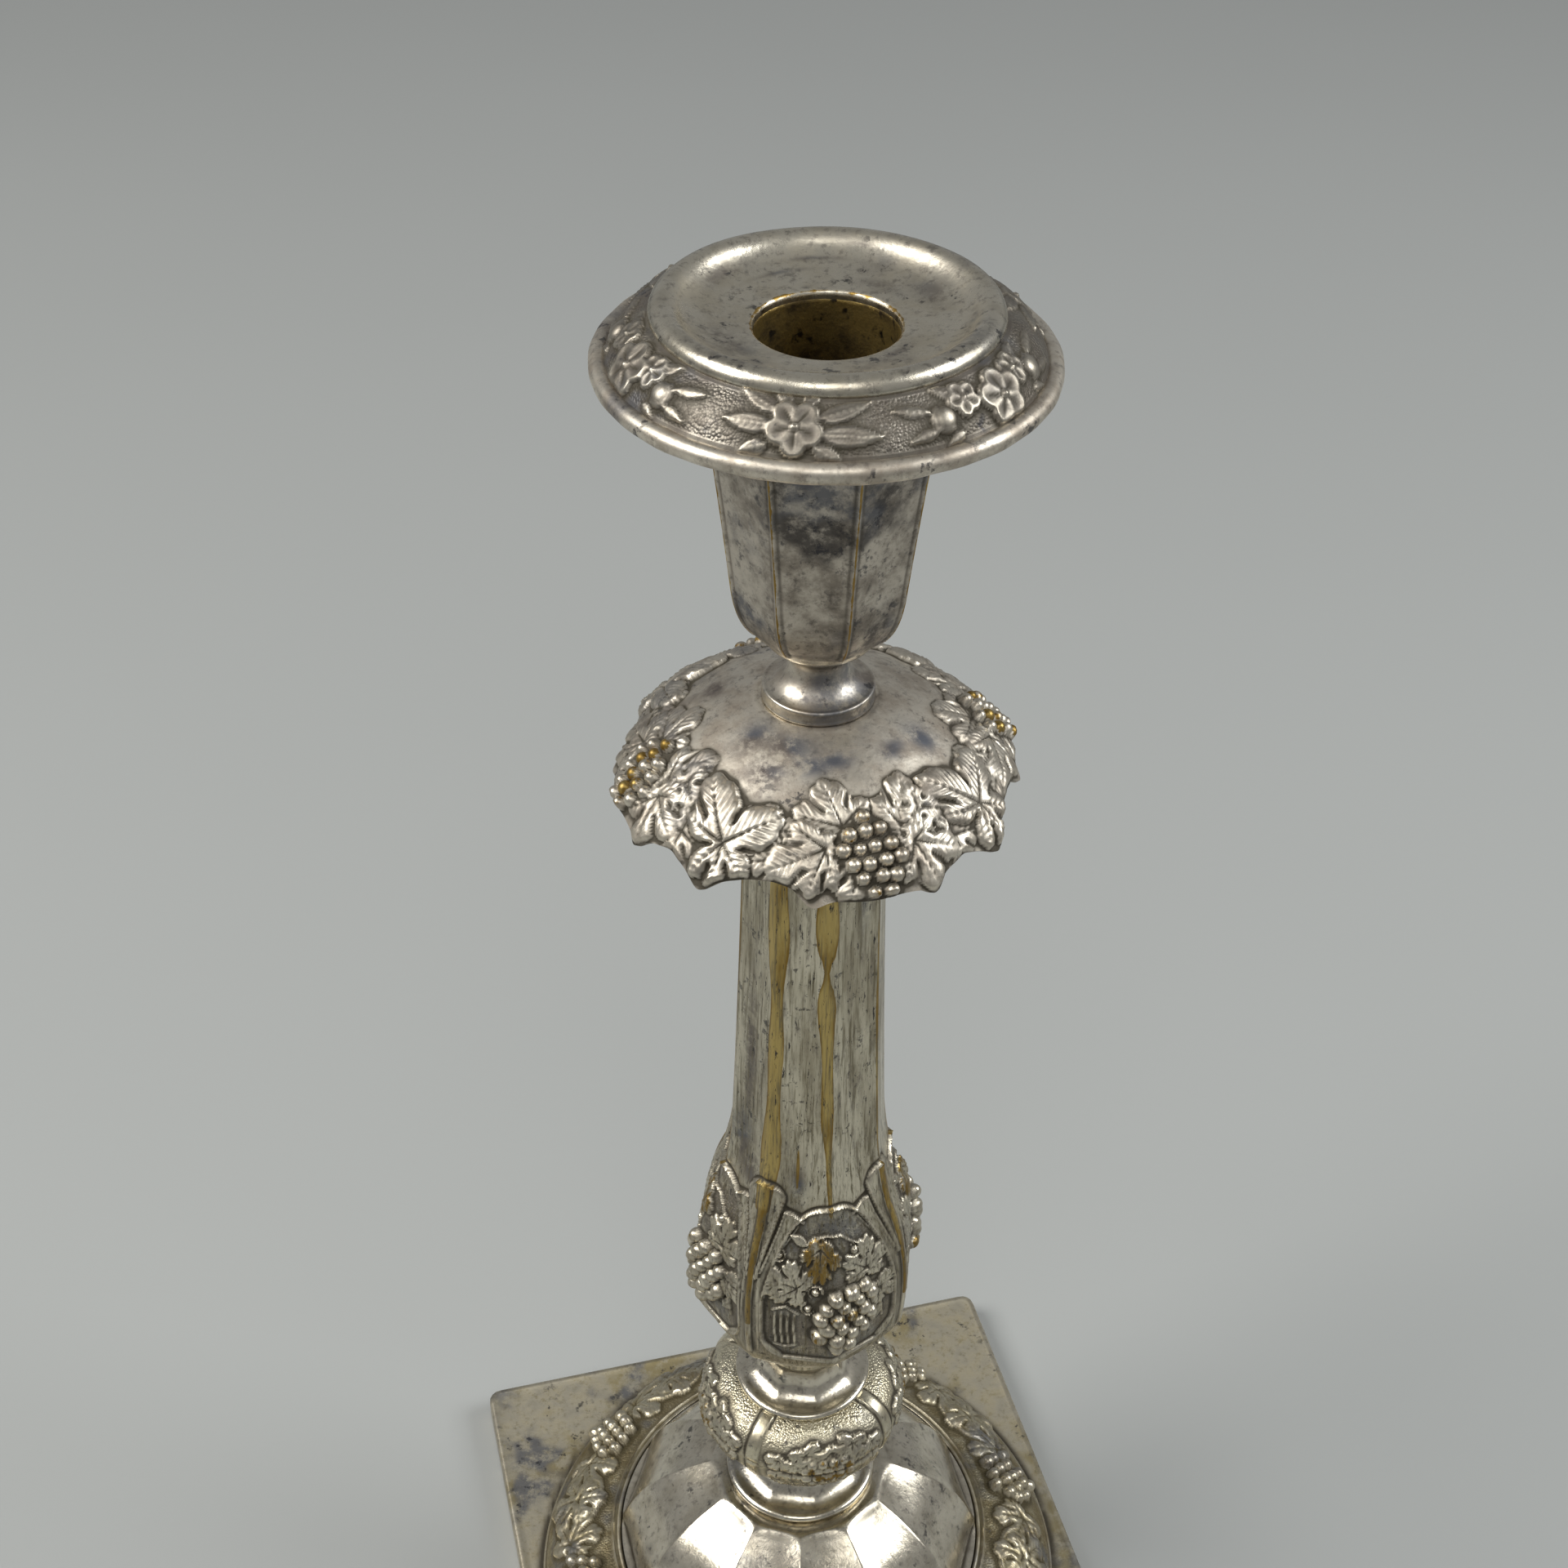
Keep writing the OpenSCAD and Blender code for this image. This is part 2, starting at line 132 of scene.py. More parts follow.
class Shell:
    """A struck shell: an outer skin of rows (outline) by columns (angles) that carries relief.

    r, z and s run along the outline. R and S are radius and s over the whole grid, H is the height of the
    relief and extra holds marks that the materials read. A third value in rows says how flat the sides are.
    """

    def __init__(self, rows, columns, start=0.0, end=360.0, sides=0, side_from=0.0, round_edge=2.0):
        self.closed = end - start == 360.0
        self.phi = np.linspace(start, end, columns, endpoint=not self.closed)
        self.r, self.z = rows[:, 0], rows[:, 1]
        gaps = np.linalg.norm(np.diff(rows[:, :2], axis=0), axis=1)
        self.s = np.concatenate([[0], np.cumsum(gaps)])
        dr, dz = np.gradient(self.r, self.s), np.gradient(self.z, self.s)
        size = np.hypot(dr, dz)
        self.nr, self.nz = dz / size, -dr / size
        self.S = np.repeat(self.s[:, None], columns, 1)
        self.R = np.repeat(self.r[:, None], columns, 1)
        self.H = np.zeros((len(rows), columns))
        self.extra = {key: np.zeros_like(self.H) for key in ("wear", "stipple", "polish", "stain")}
        self.flat = np.ones((1, columns))
        if sides:
            half = 180.0 / sides
            from_edge = np.abs((self.phi - side_from + half) % (2 * half) - half)
            self.edge_gap = from_edge
            rounded = np.minimum(np.sqrt(from_edge**2 + round_edge**2), half)
            flat = np.cos(np.radians(half)) / np.cos(np.radians(half - rounded))
            self.flat = flat[None, :]
            w = rows[:, 2:3]
            self.R = self.R * (1 - w + w * self.flat)

    def window(self, phi, s, reach):
        """Rows, columns and local x (to larger angles) and y (along the outline) around one point."""
        rows = np.where(np.abs(self.s - s) < reach)[0]
        if len(rows) == 0:
            return None
        turn = (self.phi - phi + 180) % 360 - 180
        r_far = self.r[rows].max()
        cols = np.where(np.abs(np.radians(turn)) * max(r_far, 1) < reach * 1.3)[0]
        if len(cols) == 0:
            return None
        y = self.S[np.ix_(rows, cols)] - s
        x = np.radians(turn[cols])[None, :] * self.r[rows][:, None]
        return np.ix_(rows, cols), x, y

    def stamp(self, shape, phi, s, reach, turn=0.0, lift=0.0, mark=None, amount=1.0):
        """Raises shape(x, y) around a point, turned by turn degrees; the higher of old and new stays."""
        spot = self.window(phi, s, reach)
        if spot is None:
            return
        index, x, y = spot
        c, k = np.cos(np.radians(turn)), np.sin(np.radians(turn))
        u, v = c * x + k * y, -k * x + c * y
        h = shape(u, v)
        inside = h > 0
        new = np.where(inside, h + lift, 0)
        higher = new > self.H[index]
        self.H[index] = np.where(higher, new, self.H[index])
        if mark:
            self.extra[mark][index] = np.where(higher & inside, amount, self.extra[mark][index])

    def stamp_all(self, motifs, middle=0.0):
        """Stamps each (angle from the middle, s, reach, turn, lift, shape)."""
        for angle, s, reach, turn, lift, shape in motifs:
            self.stamp(shape, middle + angle, s, reach, turn, lift)

    def across(self, phi):
        """Millimetres round the axis from the angle phi, rows by columns."""
        return np.radians((self.phi - phi + 180) % 360 - 180)[None, :] * self.r[:, None]

    def smear(self, phi, s, wide, tall, amount=1.0, key="stain"):
        """Soft oval patch of stain or wear, wide and tall in millimetres."""
        spot = amount * np.exp(-((self.across(phi) / wide) ** 2) - ((self.S - s) / tall) ** 2)
        self.extra[key] = np.maximum(self.extra[key], spot)

    def line(self, points, width, height, taper=False):
        """Raised line through (angle, s) points."""
        pts = np.array(points, float)
        mid_phi, mid_s = (pts.max(0) + pts.min(0)) / 2
        r_mid = np.interp(mid_s, self.s, self.r)
        span = np.hypot(np.radians(np.ptp(pts[:, 0])) * r_mid, np.ptp(pts[:, 1])) / 2
        spot = self.window(mid_phi, mid_s, span + 3 * width + 1)
        if spot is None:
            return
        index, x, y = spot
        px = np.radians(pts[:, 0] - mid_phi) * r_mid
        x = x * r_mid / np.maximum(self.r[index[0]], 0.1)
        py = pts[:, 1] - mid_s
        best = np.full(x.shape, 1e9)
        along = np.zeros(x.shape)
        total = len(pts) - 1
        for i in range(total):
            ax, ay, bx, by = px[i], py[i], px[i + 1], py[i + 1]
            size = max((bx - ax) ** 2 + (by - ay) ** 2, 1e-9)
            t = np.clip(((x - ax) * (bx - ax) + (y - ay) * (by - ay)) / size, 0, 1)
            d = np.hypot(x - ax - t * (bx - ax), y - ay - t * (by - ay))
            along = np.where(d < best, (i + t) / total, along)
            best = np.minimum(best, d)
        w = width * (1 - 0.8 * along) if taper else width
        bead = height * np.clip(1 - (best / w) ** 2, 0, 1)
        base = self.H[index]
        self.H[index] = np.where(bead > 0, np.maximum(base, 0.35 * base + bead), base)

    def skin(self):
        """Points of the outer skin, rows by columns."""
        r = self.R + self.H * self.nr[:, None]
        z = self.z[:, None] + self.H * self.nz[:, None]
        return around(r, np.radians(self.phi)[None, :], z)


def relief_marks(shell, cell=STEP):
    """Hollows and high edges of the relief, from 0 to 1, from its height over its surroundings. The hollow
    mark is soiling plus painted contact shade, the high mark polish plus a painted highlight.
    """
    near = shell.H - blur(shell.H, 0.8 / cell, shell.closed)
    wide = shell.H - blur(shell.H, 2.2 / cell, shell.closed)
    # hollows: soiling in crevices plus a broad painted contact shade round the relief
    grime_and_shade = np.clip(-near / 0.17, 0, 1) * 0.8 + np.clip(-wide / 0.4, 0, 1) * 0.6
    # raised parts: polish plus a painted highlight
    high = np.clip(near / 0.2, 0, 1) * 0.6 + np.clip(wide / 0.6, 0, 1) * 0.6
    return np.clip(grime_and_shade, 0, 1), np.clip(high, 0, 1)


def make_mesh(name, points, faces_quads, caps, attributes, sharp):
    """Mesh object from points, quads and larger faces, with crisp edges where it bends over sharp degrees."""
    mesh = bpy.data.meshes.new(name)
    mesh.vertices.add(len(points))
    mesh.vertices.foreach_set("co", (points * MM).astype(np.float32).ravel())
    loops = [faces_quads.ravel()] + [np.array(c) for c in caps]
    sizes = np.concatenate([np.full(len(faces_quads), 4)] + [[len(c)] for c in caps]).astype(np.int32)
    loops = np.concatenate(loops).astype(np.int32)
    starts = np.concatenate([[0], np.cumsum(sizes)[:-1]]).astype(np.int32)
    mesh.loops.add(len(loops))
    mesh.polygons.add(len(sizes))
    mesh.polygons.foreach_set("loop_start", starts)
    mesh.loops.foreach_set("vertex_index", loops)
    mesh.update(calc_edges=True)
    mesh.polygons.foreach_set("use_smooth", np.ones(len(sizes), bool))
    for key, values in attributes.items():
        layer = mesh.attributes.new(key, "FLOAT", "POINT")
        layer.data.foreach_set("value", values.astype(np.float32).ravel())
    mesh.validate()
    mesh.set_sharp_from_angle(angle=np.radians(sharp))
    piece = bpy.data.objects.new(name, mesh)
    bpy.context.scene.collection.objects.link(piece)
    return piece


def grid_faces(m, n, across):
    """Quads between m rows of n points, the last row joined to the first."""
    i, j = np.meshgrid(np.arange(m), np.arange(across), indexing="ij")
    k, l = (i + 1) % m, (j + 1) % n
    return np.stack([i * n + j, i * n + l, k * n + l, k * n + j], -1).reshape(-1, 4)


def hang(piece, node, material, body="stick"):
    """Gives a piece its material and puts it on its body in place of its CAD node."""
    piece.data.materials.append(material)
    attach(piece, body)
    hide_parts(node)


def close_shell(name, node, shell, inner, material, sharp, body="stick"):
    """Closes a shell with a plain inner outline, and hangs it on its body in place of its CAD node."""
    outer = shell.skin()
    phi = np.radians(shell.phi)
    back = []
    for r, z, *w in inner:
        r = r * (1 - w[0] + w[0] * shell.flat[0]) if w else r
        back.append(around(r, phi, z))
    points = np.concatenate([outer, np.array(back)])
    m, n = points.shape[:2]
    across = n if shell.closed else n - 1
    quads = grid_faces(m, n, across)
    caps = []
    if not shell.closed:
        caps = [np.arange(m) * n, (np.arange(m) * n + n - 1)[::-1]]
    grime_and_shade, high = relief_marks(shell)
    tail = np.zeros((len(inner), n))
    marks = {"grime_and_shade": grime_and_shade, "high": high, **shell.extra}
    marks = {key: np.concatenate([value, tail]) for key, value in marks.items()}
    marks["inside"] = np.concatenate([np.zeros_like(shell.H), tail + 1])
    hang(make_mesh(name, points.reshape(-1, 3), quads, caps, marks, sharp), node, material, body)


# ---------------------------------------------------------------- relief motifs


def ball(radius, squash=1.0, length=1.0):
    def shape(x, y):
        d = x**2 + (y / length) ** 2
        return squash * np.sqrt(np.clip(radius**2 - d, 0, None))

    return shape


def blade(length, width, height, rib=0.35):
    """Narrow leaf that runs along +y from its foot, with a raised margin and a midrib."""

    def shape(x, y):
        t = np.clip(y / length, 0, 1)
        w = width * np.sin(np.pi * t**0.8) ** 0.9 + 1e-3
        f = np.abs(x) / w
        body = np.clip(1 - f**4, 0, 1) ** 0.5 * (0.55 + 0.45 * f**2)
        vein = hill(x / 0.22) * rib
        side = 0.12 * np.cos(2 * np.pi * (y - np.abs(x) * 1.1) / 0.95)
        inside = (y > 0) & (y < length) & (f < 1)
        return np.where(inside, height * np.clip(body + vein + side * (1 - f), 0.05, 2), 0)

    return shape


def vine_leaf(size, height, lobes, teeth=0.05, tooth_count=21, seed=0.0):
    """Lobed leaf about the joint of its veins; lobes are (direction from +y, length, half width)."""

    def shape(x, y):
        rho = np.hypot(x, y) / size
        ang = np.degrees(np.arctan2(x, y))
        edge = np.full(x.shape, 0.3)
        first, second = np.full(x.shape, 1e9), np.full(x.shape, 1e9)
        across = np.zeros(x.shape)
        for direction, length, wide in lobes:
            d = (ang - direction + 180) % 360 - 180
            t = np.abs(d) / wide
            edge = np.maximum(edge, length * (1 - 0.36 * t**1.5) * (t < 1.25))
            closer = np.abs(d) < first
            second = np.where(closer, first, np.minimum(second, np.abs(d)))
            first = np.where(closer, np.abs(d), first)
            across = np.where(closer, rho * size * np.sin(np.radians(d)), across)
        edge = edge * (1 + teeth * (np.abs(np.sin(np.radians(ang + seed) * tooth_count / 2)) - 0.6))
        f = rho / edge
        rim = np.clip(1 - f**12, 0, 1) ** 0.5
        gap = np.radians(np.minimum(second - first, 60)) * rho * size / 2
        slit = hill(gap / (0.045 * size)) * soft_step(f, 0.46, 0.6)
        vein = hill(across / 0.18) * np.clip(1.25 - f, 0, 1)
        swell = np.sin(np.pi * np.clip(0.1 + 0.7 * f, 0, 1))
        wave = 0.13 * np.sin(1.1 * x + seed) * np.cos(0.9 * y + 2 * seed) * f
        out = np.sqrt(np.clip((rho * size) ** 2 - across**2, 0, None))
        ribs = 0.08 * np.cos(2 * np.pi * (out - np.abs(across)) / 1.35)
        wave = wave + ribs * np.clip(1.6 * f, 0, 1) * np.clip(3 - 3 * f, 0, 1)
        margin = 0.2 * hill((1 - f) * edge * size / 0.3)
        body = 0.32 + 0.5 * swell - 0.8 * slit - 0.3 * vein + wave + margin
        return np.where(f < 1, height * rim * np.clip(body, 0.06, 2), 0)

    return shape


FIVE = [(0, 1.0, 38), (54, 0.9, 36), (-54, 0.9, 36), (106, 0.68, 34), (-106, 0.68, 34)]
THREE = [(0, 1.0, 41), (58, 0.84, 39), (-58, 0.84, 39)]


def blossom(radius, height, petals=5, first=0.0):
    """Open flower: broad flat petals with a turned-up edge about a small ball."""

    def shape(x, y):
        best = np.zeros(x.shape)
        for k in range(petals):
            a = np.radians(first + 360.0 * k / petals)
            u = x * np.sin(a) + y * np.cos(a) - 0.56 * radius
            v = x * np.cos(a) - y * np.sin(a)
            e = np.sqrt((u / (0.45 * radius)) ** 2 + (v / (0.46 * radius)) ** 2)
            petal = np.clip(1 - e**7, 0, 1) ** 0.5 * (0.52 + 0.48 * np.clip(e, 0, 1) ** 2)
            groove = 0.3 * hill(v / 0.2) * np.clip(0.6 - u / (0.5 * radius), 0, 1)
            best = np.maximum(best, height * np.clip(petal - groove * (petal > 0), 0, 1))
        heart = 0.17 * radius
        return np.maximum(best, 1.25 * height * np.sqrt(np.clip(1 - (x**2 + y**2) / heart**2, 0, None)))

    return shape


def grapes(shell, phi, s, rows, size, lift=0.25, squash=0.95, wear=1.0, pitch=1.84):
    """Bunch of grapes; rows lists how many lie in each row, from the end nearest s = 0."""
    long, wide = len(rows) * size * pitch / 2, max(rows) * size * 0.95
    pad = 0.8 * lift + 0.3 * size
    shell.stamp(ball(wide, pad / wide, long / wide), phi, s + (len(rows) - 1) * size * pitch / 2,
        max(long, wide) + 1)
    shift = 0.0
    for i, count in enumerate(rows):
        if i and rows[i - 1] == count:
            shift = 0.5 - shift
        y = s + i * size * pitch
        r = max(np.interp(y, shell.s, shell.r), 1)
        for j in range(count):
            x = (j - (count - 1) / 2 + shift) * size * 2.12 + rng.uniform(-0.2, 0.2) * size
            jolt = rng.uniform(-0.22, 0.22) * size
            mound = lift + 0.45 * size * np.cos(np.pi / 2 * min(1, abs(x) / (size * 5)))
            shell.stamp(
                ball(size * rng.uniform(0.8, 1.06), squash), phi + np.degrees(x / r), y + jolt, 2.2 * size,
                lift=mound, mark="wear", amount=wear * max(0.0, rng.uniform(-0.5, 1.0)),
            )


# ---------------------------------------------------------------- materials


class Nodes:
    """Short hand for building a node tree."""

    def __init__(self, name):
        self.material = bpy.data.materials.new(name)
        self.material.use_nodes = True
        self.tree = self.material.node_tree
        self.tree.nodes.clear()
        self.where = self.add("ShaderNodeTexCoord").outputs["Object"]

    def add(self, kind, **settings):
        node = self.tree.nodes.new(kind)
        for key, value in settings.items():
            setattr(node, key, value)
        return node

    def put(self, socket, value):
        if isinstance(value, bpy.types.NodeSocket):
            self.tree.links.new(value, socket)
        else:
            socket.default_value = value

    def mark(self, name):
        return self.add("ShaderNodeAttribute", attribute_name=name).outputs["Fac"]

    def fill(self, node, output, **values):
        """Sets or links a node's inputs by name and gives one of its outputs."""
        for key, value in values.items():
            self.put(node.inputs[key], value)
        return node.outputs[output]

    def maths(self, kind, a, b=0.0, clamp=False):
        node = self.add("ShaderNodeMath", operation=kind, use_clamp=clamp)
        self.put(node.inputs[0], a)
        self.put(node.inputs[1], b)
        return node.outputs[0]

    def times(self, a, b, clamp=False):
        return self.maths("MULTIPLY", a, b, clamp)

    def placed(self, scale):
        return self.fill(self.add("ShaderNodeMapping"), "Vector", Vector=self.where, Scale=scale)

    def noise(self, scale, detail=4.0, rough=0.55, stretch=(1, 1, 1)):
        node = self.add("ShaderNodeTexNoise")
        where = self.placed(stretch)
        return self.fill(node, "Fac", Vector=where, Scale=scale, Detail=detail, Roughness=rough)

    def cells(self, scale):
        node = self.add("ShaderNodeTexVoronoi")
        return self.fill(node, "Distance", Vector=self.placed((1, 1, 1)), Scale=scale)

    def span(self, value, low, high, to_low=0.0, to_high=1.0):
        node = self.add("ShaderNodeMapRange", interpolation_type="SMOOTHSTEP")
        names = ("Value", "From Min", "From Max", "To Min", "To Max")
        return self.fill(node, "Result", **dict(zip(names, (value, low, high, to_low, to_high))))

    def mix(self, amount, a, b, kind="RGBA"):
        node = self.add("ShaderNodeMix", data_type=kind)
        return self.fill(node, "Result", Factor=amount, A=a, B=b)

    def blend(self, amount, a, b):
        return self.mix(amount, a, b, "FLOAT")

    def finish(self, colour, metallic, roughness, height, strength=0.4, distance=0.0004):
        shader = self.add("ShaderNodeBsdfPrincipled")
        bump = self.add("ShaderNodeBump")
        normal = self.fill(bump, "Normal", Strength=strength, Distance=distance, Height=height)
        looks = {"Base Color": colour, "Metallic": metallic, "Roughness": roughness, "Normal": normal}
        out = self.add("ShaderNodeOutputMaterial")
        self.put(out.inputs["Surface"], self.fill(shader, "BSDF", **looks))
        return self.material


TARNISH = (0.15, 0.13, 0.115, 1)
BLUE_TARNISH = (0.12, 0.125, 0.14, 1)
# Dark brown painted into hollows: soiling plus painted shade.
HOLLOW_GRIME_AND_SHADE = (0.055, 0.046, 0.03, 1)
BRASS = (0.49, 0.37, 0.14, 1)
BRASS_DULL = (0.25, 0.158, 0.04, 1)


def plate(name, base, shade, stain=TARNISH, tarnish=0.4, pits=0.5, rough=0.3, streaks=0.0, crust_and_shade=HOLLOW_GRIME_AND_SHADE):
    """Worn silver plate: two tones, stains, pits, soiling plus painted shade in hollows, polish plus a
    painted highlight on raised relief, and brass where it has worn through.
    """
    n = Nodes(name)
    broad = n.noise(45, 3, 0.6)
    grain = (1, 1, 0.2) if streaks else (1, 1, 1)
    middle = n.noise(160, 6, 0.65, stretch=grain)
    fine = n.noise(900, 4, 0.6, stretch=grain)
    colour = n.mix(n.span(middle, 0.38, 0.66), base, shade)
    colour = n.mix(n.span(n.noise(650, 5, 0.75, stretch=grain), 0.5, 0.68, 0.0, 0.55), colour, stain)
    patch = n.span(broad, 0.6 - 0.16 * tarnish, 0.72 - 0.16 * tarnish)
    patch = n.times(patch, tarnish + 0.2, clamp=True)
    patch = n.maths("MAXIMUM", patch, n.mark("stain"))
    patch = n.times(patch, n.span(n.noise(260, 6, 0.7), 0.36, 0.56, 0.25, 1.0))
    hue = n.mix(n.span(n.noise(70, 2), 0.46, 0.58), stain, BLUE_TARNISH)
    colour = n.mix(n.times(patch, 0.85), colour, hue)
    spots = n.span(n.noise(420, 5, 0.7), 0.6 - 0.05 * pits, 0.64)
    spots = n.times(spots, n.span(n.noise(90, 3), 0.47, 0.58))
    colour = n.mix(n.times(spots, 0.8), colour, (0.045, 0.045, 0.05, 1))
    wander = n.noise(700, 5, 0.65, stretch=(1, 1, 0.1)) if streaks else n.noise(500, 4)
    worn = n.mark("wear")
    bare = n.span(n.maths("ADD", worn, n.times(wander, 0.8)), 0.78, 0.92)
    bare = n.times(bare, n.span(worn, 0.02, 0.12))
    glint = n.times(n.noise(300, 4, 0.6, stretch=(1, 1, 0.2)), 2.0)
    brass = n.mix(n.span(n.maths("ADD", worn, glint), 1.5, 2.15), BRASS_DULL, BRASS)
    colour = n.mix(bare, colour, brass)
    if streaks:
        lines = n.span(n.noise(1500, 4, 0.7, stretch=(1, 1, 0.04)), 0.45, 0.7)
        flecks = n.span(n.noise(1700, 4, 0.75, stretch=(1, 1, 0.16)), 0.59, 0.66)
        colour = n.mix(n.times(lines, streaks), colour, (0.17, 0.145, 0.09, 1))
        colour = n.mix(n.times(flecks, 1.3 * streaks, clamp=True), colour, (0.06, 0.055, 0.05, 1))
    # Hollows get a dark deposit that is partly soiling and partly painted shade; it also dulls the metal.
    dirt_and_shade = n.times(n.mark("grime_and_shade"), n.span(n.noise(220, 4), 0.2, 0.6, 0.75, 1.2), clamp=True)
    colour = n.mix(dirt_and_shade, colour, crust_and_shade)
    # Raised relief painted lighter and warmer: polish plus a painted highlight.
    raised = n.times(n.mark("high"), n.maths("SUBTRACT", 1.0, bare), clamp=True)
    colour = n.mix(n.times(raised, 0.48), colour,
        n.mix(n.span(n.noise(330, 5, 0.7), 0.4, 0.6), (0.72, 0.66, 0.54, 1), (0.44, 0.39, 0.31, 1)))
    colour = n.mix(n.times(n.mark("inside"), 0.7), colour, (0.12, 0.095, 0.06, 1))
    metallic = n.blend(n.times(dirt_and_shade, 0.75), 1.0, 0.2)
    gloss = n.span(middle, 0.3, 0.7, rough - 0.06, rough + 0.12)
    gloss = n.blend(patch, gloss, rough + 0.16)
    gloss = n.blend(n.times(raised, 0.7), gloss, rough - 0.06)
    gloss = n.blend(dirt_and_shade, gloss, 0.65)
    gloss = n.blend(n.times(n.mark("polish"), 0.8), gloss, rough - 0.12)
    dots = n.times(n.cells(2000), n.mark("stipple"))
    height = n.maths("ADD", n.times(fine, 0.22), n.times(dots, -0.75))
    height = n.maths("ADD", height, n.times(n.noise(2600, 3, 0.7, stretch=(1, 1, 0.12)), 0.05))
    return n.finish(colour, metallic, gloss, height, 0.55, 0.00035)


def bare_brass(name):
    n = Nodes(name)
    patch = n.noise(120, 5, 0.7)
    colour = n.mix(n.span(patch, 0.35, 0.65), (0.36, 0.26, 0.09, 1), (0.05, 0.035, 0.018, 1))
    colour = n.mix(n.span(n.noise(500, 4), 0.55, 0.7), colour, (0.03, 0.024, 0.018, 1))
    rough = n.span(patch, 0.3, 0.7, 0.32, 0.6)
    return n.finish(colour, 0.9, rough, n.noise(1200, 4), 0.4, 0.0003)


def rusty_iron(name):
    n = Nodes(name)
    patch = n.noise(180, 6, 0.7)
    colour = n.mix(n.span(patch, 0.4, 0.62), (0.07, 0.062, 0.058, 1), (0.20, 0.085, 0.035, 1))
    metallic = n.span(patch, 0.4, 0.62, 0.8, 0.05)
    rough = n.span(patch, 0.3, 0.7, 0.5, 0.85)
    return n.finish(colour, metallic, rough, n.noise(900, 5, 0.7), 0.6, 0.0005)


BAND = plate("band_plate", (0.22, 0.20, 0.167, 1), (0.14, 0.122, 0.10, 1), tarnish=0.6, rough=0.42)
RELIEF = plate("relief_plate", (0.68, 0.625, 0.525, 1), (0.40, 0.35, 0.285, 1),
    tarnish=0.55, pits=0.8, rough=0.40)
NECK = plate("neck_plate", (0.60, 0.55, 0.46, 1), (0.35, 0.305, 0.25, 1),
    tarnish=0.75, pits=0.8, rough=0.34)
RING = plate("ring_plate", (0.51, 0.465, 0.335, 1), (0.34, 0.29, 0.17, 1), (0.17, 0.13, 0.06, 1),
    tarnish=0.8, rough=0.37, crust_and_shade=(0.07, 0.055, 0.024, 1))
KNOP = plate("knop_plate", (0.64, 0.59, 0.44, 1), (0.46, 0.41, 0.29, 1), tarnish=0.35, rough=0.28)
STEM = plate("stem_plate", (0.64, 0.59, 0.46, 1), (0.37, 0.33, 0.24, 1),
    tarnish=0.25, rough=0.35, streaks=0.95)
SMOOTH = plate("smooth_plate", (0.66, 0.61, 0.50, 1), (0.50, 0.455, 0.36, 1),
    tarnish=0.4, pits=0.7, rough=0.30)
SOCKET = plate("socket_plate", (0.51, 0.46, 0.385, 1), (0.23, 0.20, 0.163, 1), (0.055, 0.05, 0.048, 1),
    tarnish=1.0, pits=1.1, rough=0.35)
FOOT = plate("foot_plate", (0.58, 0.53, 0.41, 1), (0.47, 0.42, 0.30, 1), (0.30, 0.25, 0.13, 1),
    tarnish=0.8, pits=0.9, rough=0.46)
BARE = bare_brass("old_brass")
IRON = rusty_iron("rusty_iron")


# ---------------------------------------------------------------- levels from the CAD frame

PLATE_TOP = level("base_plate", True)
FOOT_HALF = half_width("base_plate")
RING_R = half_width("vine_ring")
SHELF_Z = level("vine_ring", True)
DOME_TOP = level("base_dome", True)
DOME_LOW = level("base_dome")
KNOP_Z = level("knop_lower_shell")
KNOP_MID = level("knop_lower_shell", True)
KNOP_TOP = level("knop_upper_shell", True)
KNOP_R = half_width("knop_lower_shell")
STEM_Z = level("stem_left_half")
STEM_TOP = level("stem_left_half", True)
NECK_Z = level("neck")
NECK_TOP = level("neck", True)
SOCKET_Z = level("socket_shell")
SOCKET_TOP = level("socket_shell", True)
RIM_Z = level("nozzle_dish", True)
DISH_R = half_width("nozzle_dish")
PAN_R = half_width("nozzle_rim_wire")
WIRE_Z = (level("nozzle_rim_wire") + level("nozzle_rim_wire", True)) / 2
SHEET = 0.9
ROD_HOLE = 3.4


def inner_of(rows, count, thickness=SHEET):
    """Plain inner outline under rows, from its end back to its start."""
    s = np.linspace(0, 1, len(rows))
    dr, dz = np.gradient(rows[:, 0], s), np.gradient(rows[:, 1], s)
    size = np.hypot(dr, dz)
    inner = np.stack([rows[:, 0] - thickness * dz / size, rows[:, 1] + thickness * dr / size], 1)
    inner = np.concatenate([inner, rows[:, 2:]], 1)
    pick = np.linspace(len(rows) - 1, 0, count).round().astype(int)
    return inner[pick]


# ---------------------------------------------------------------- foot


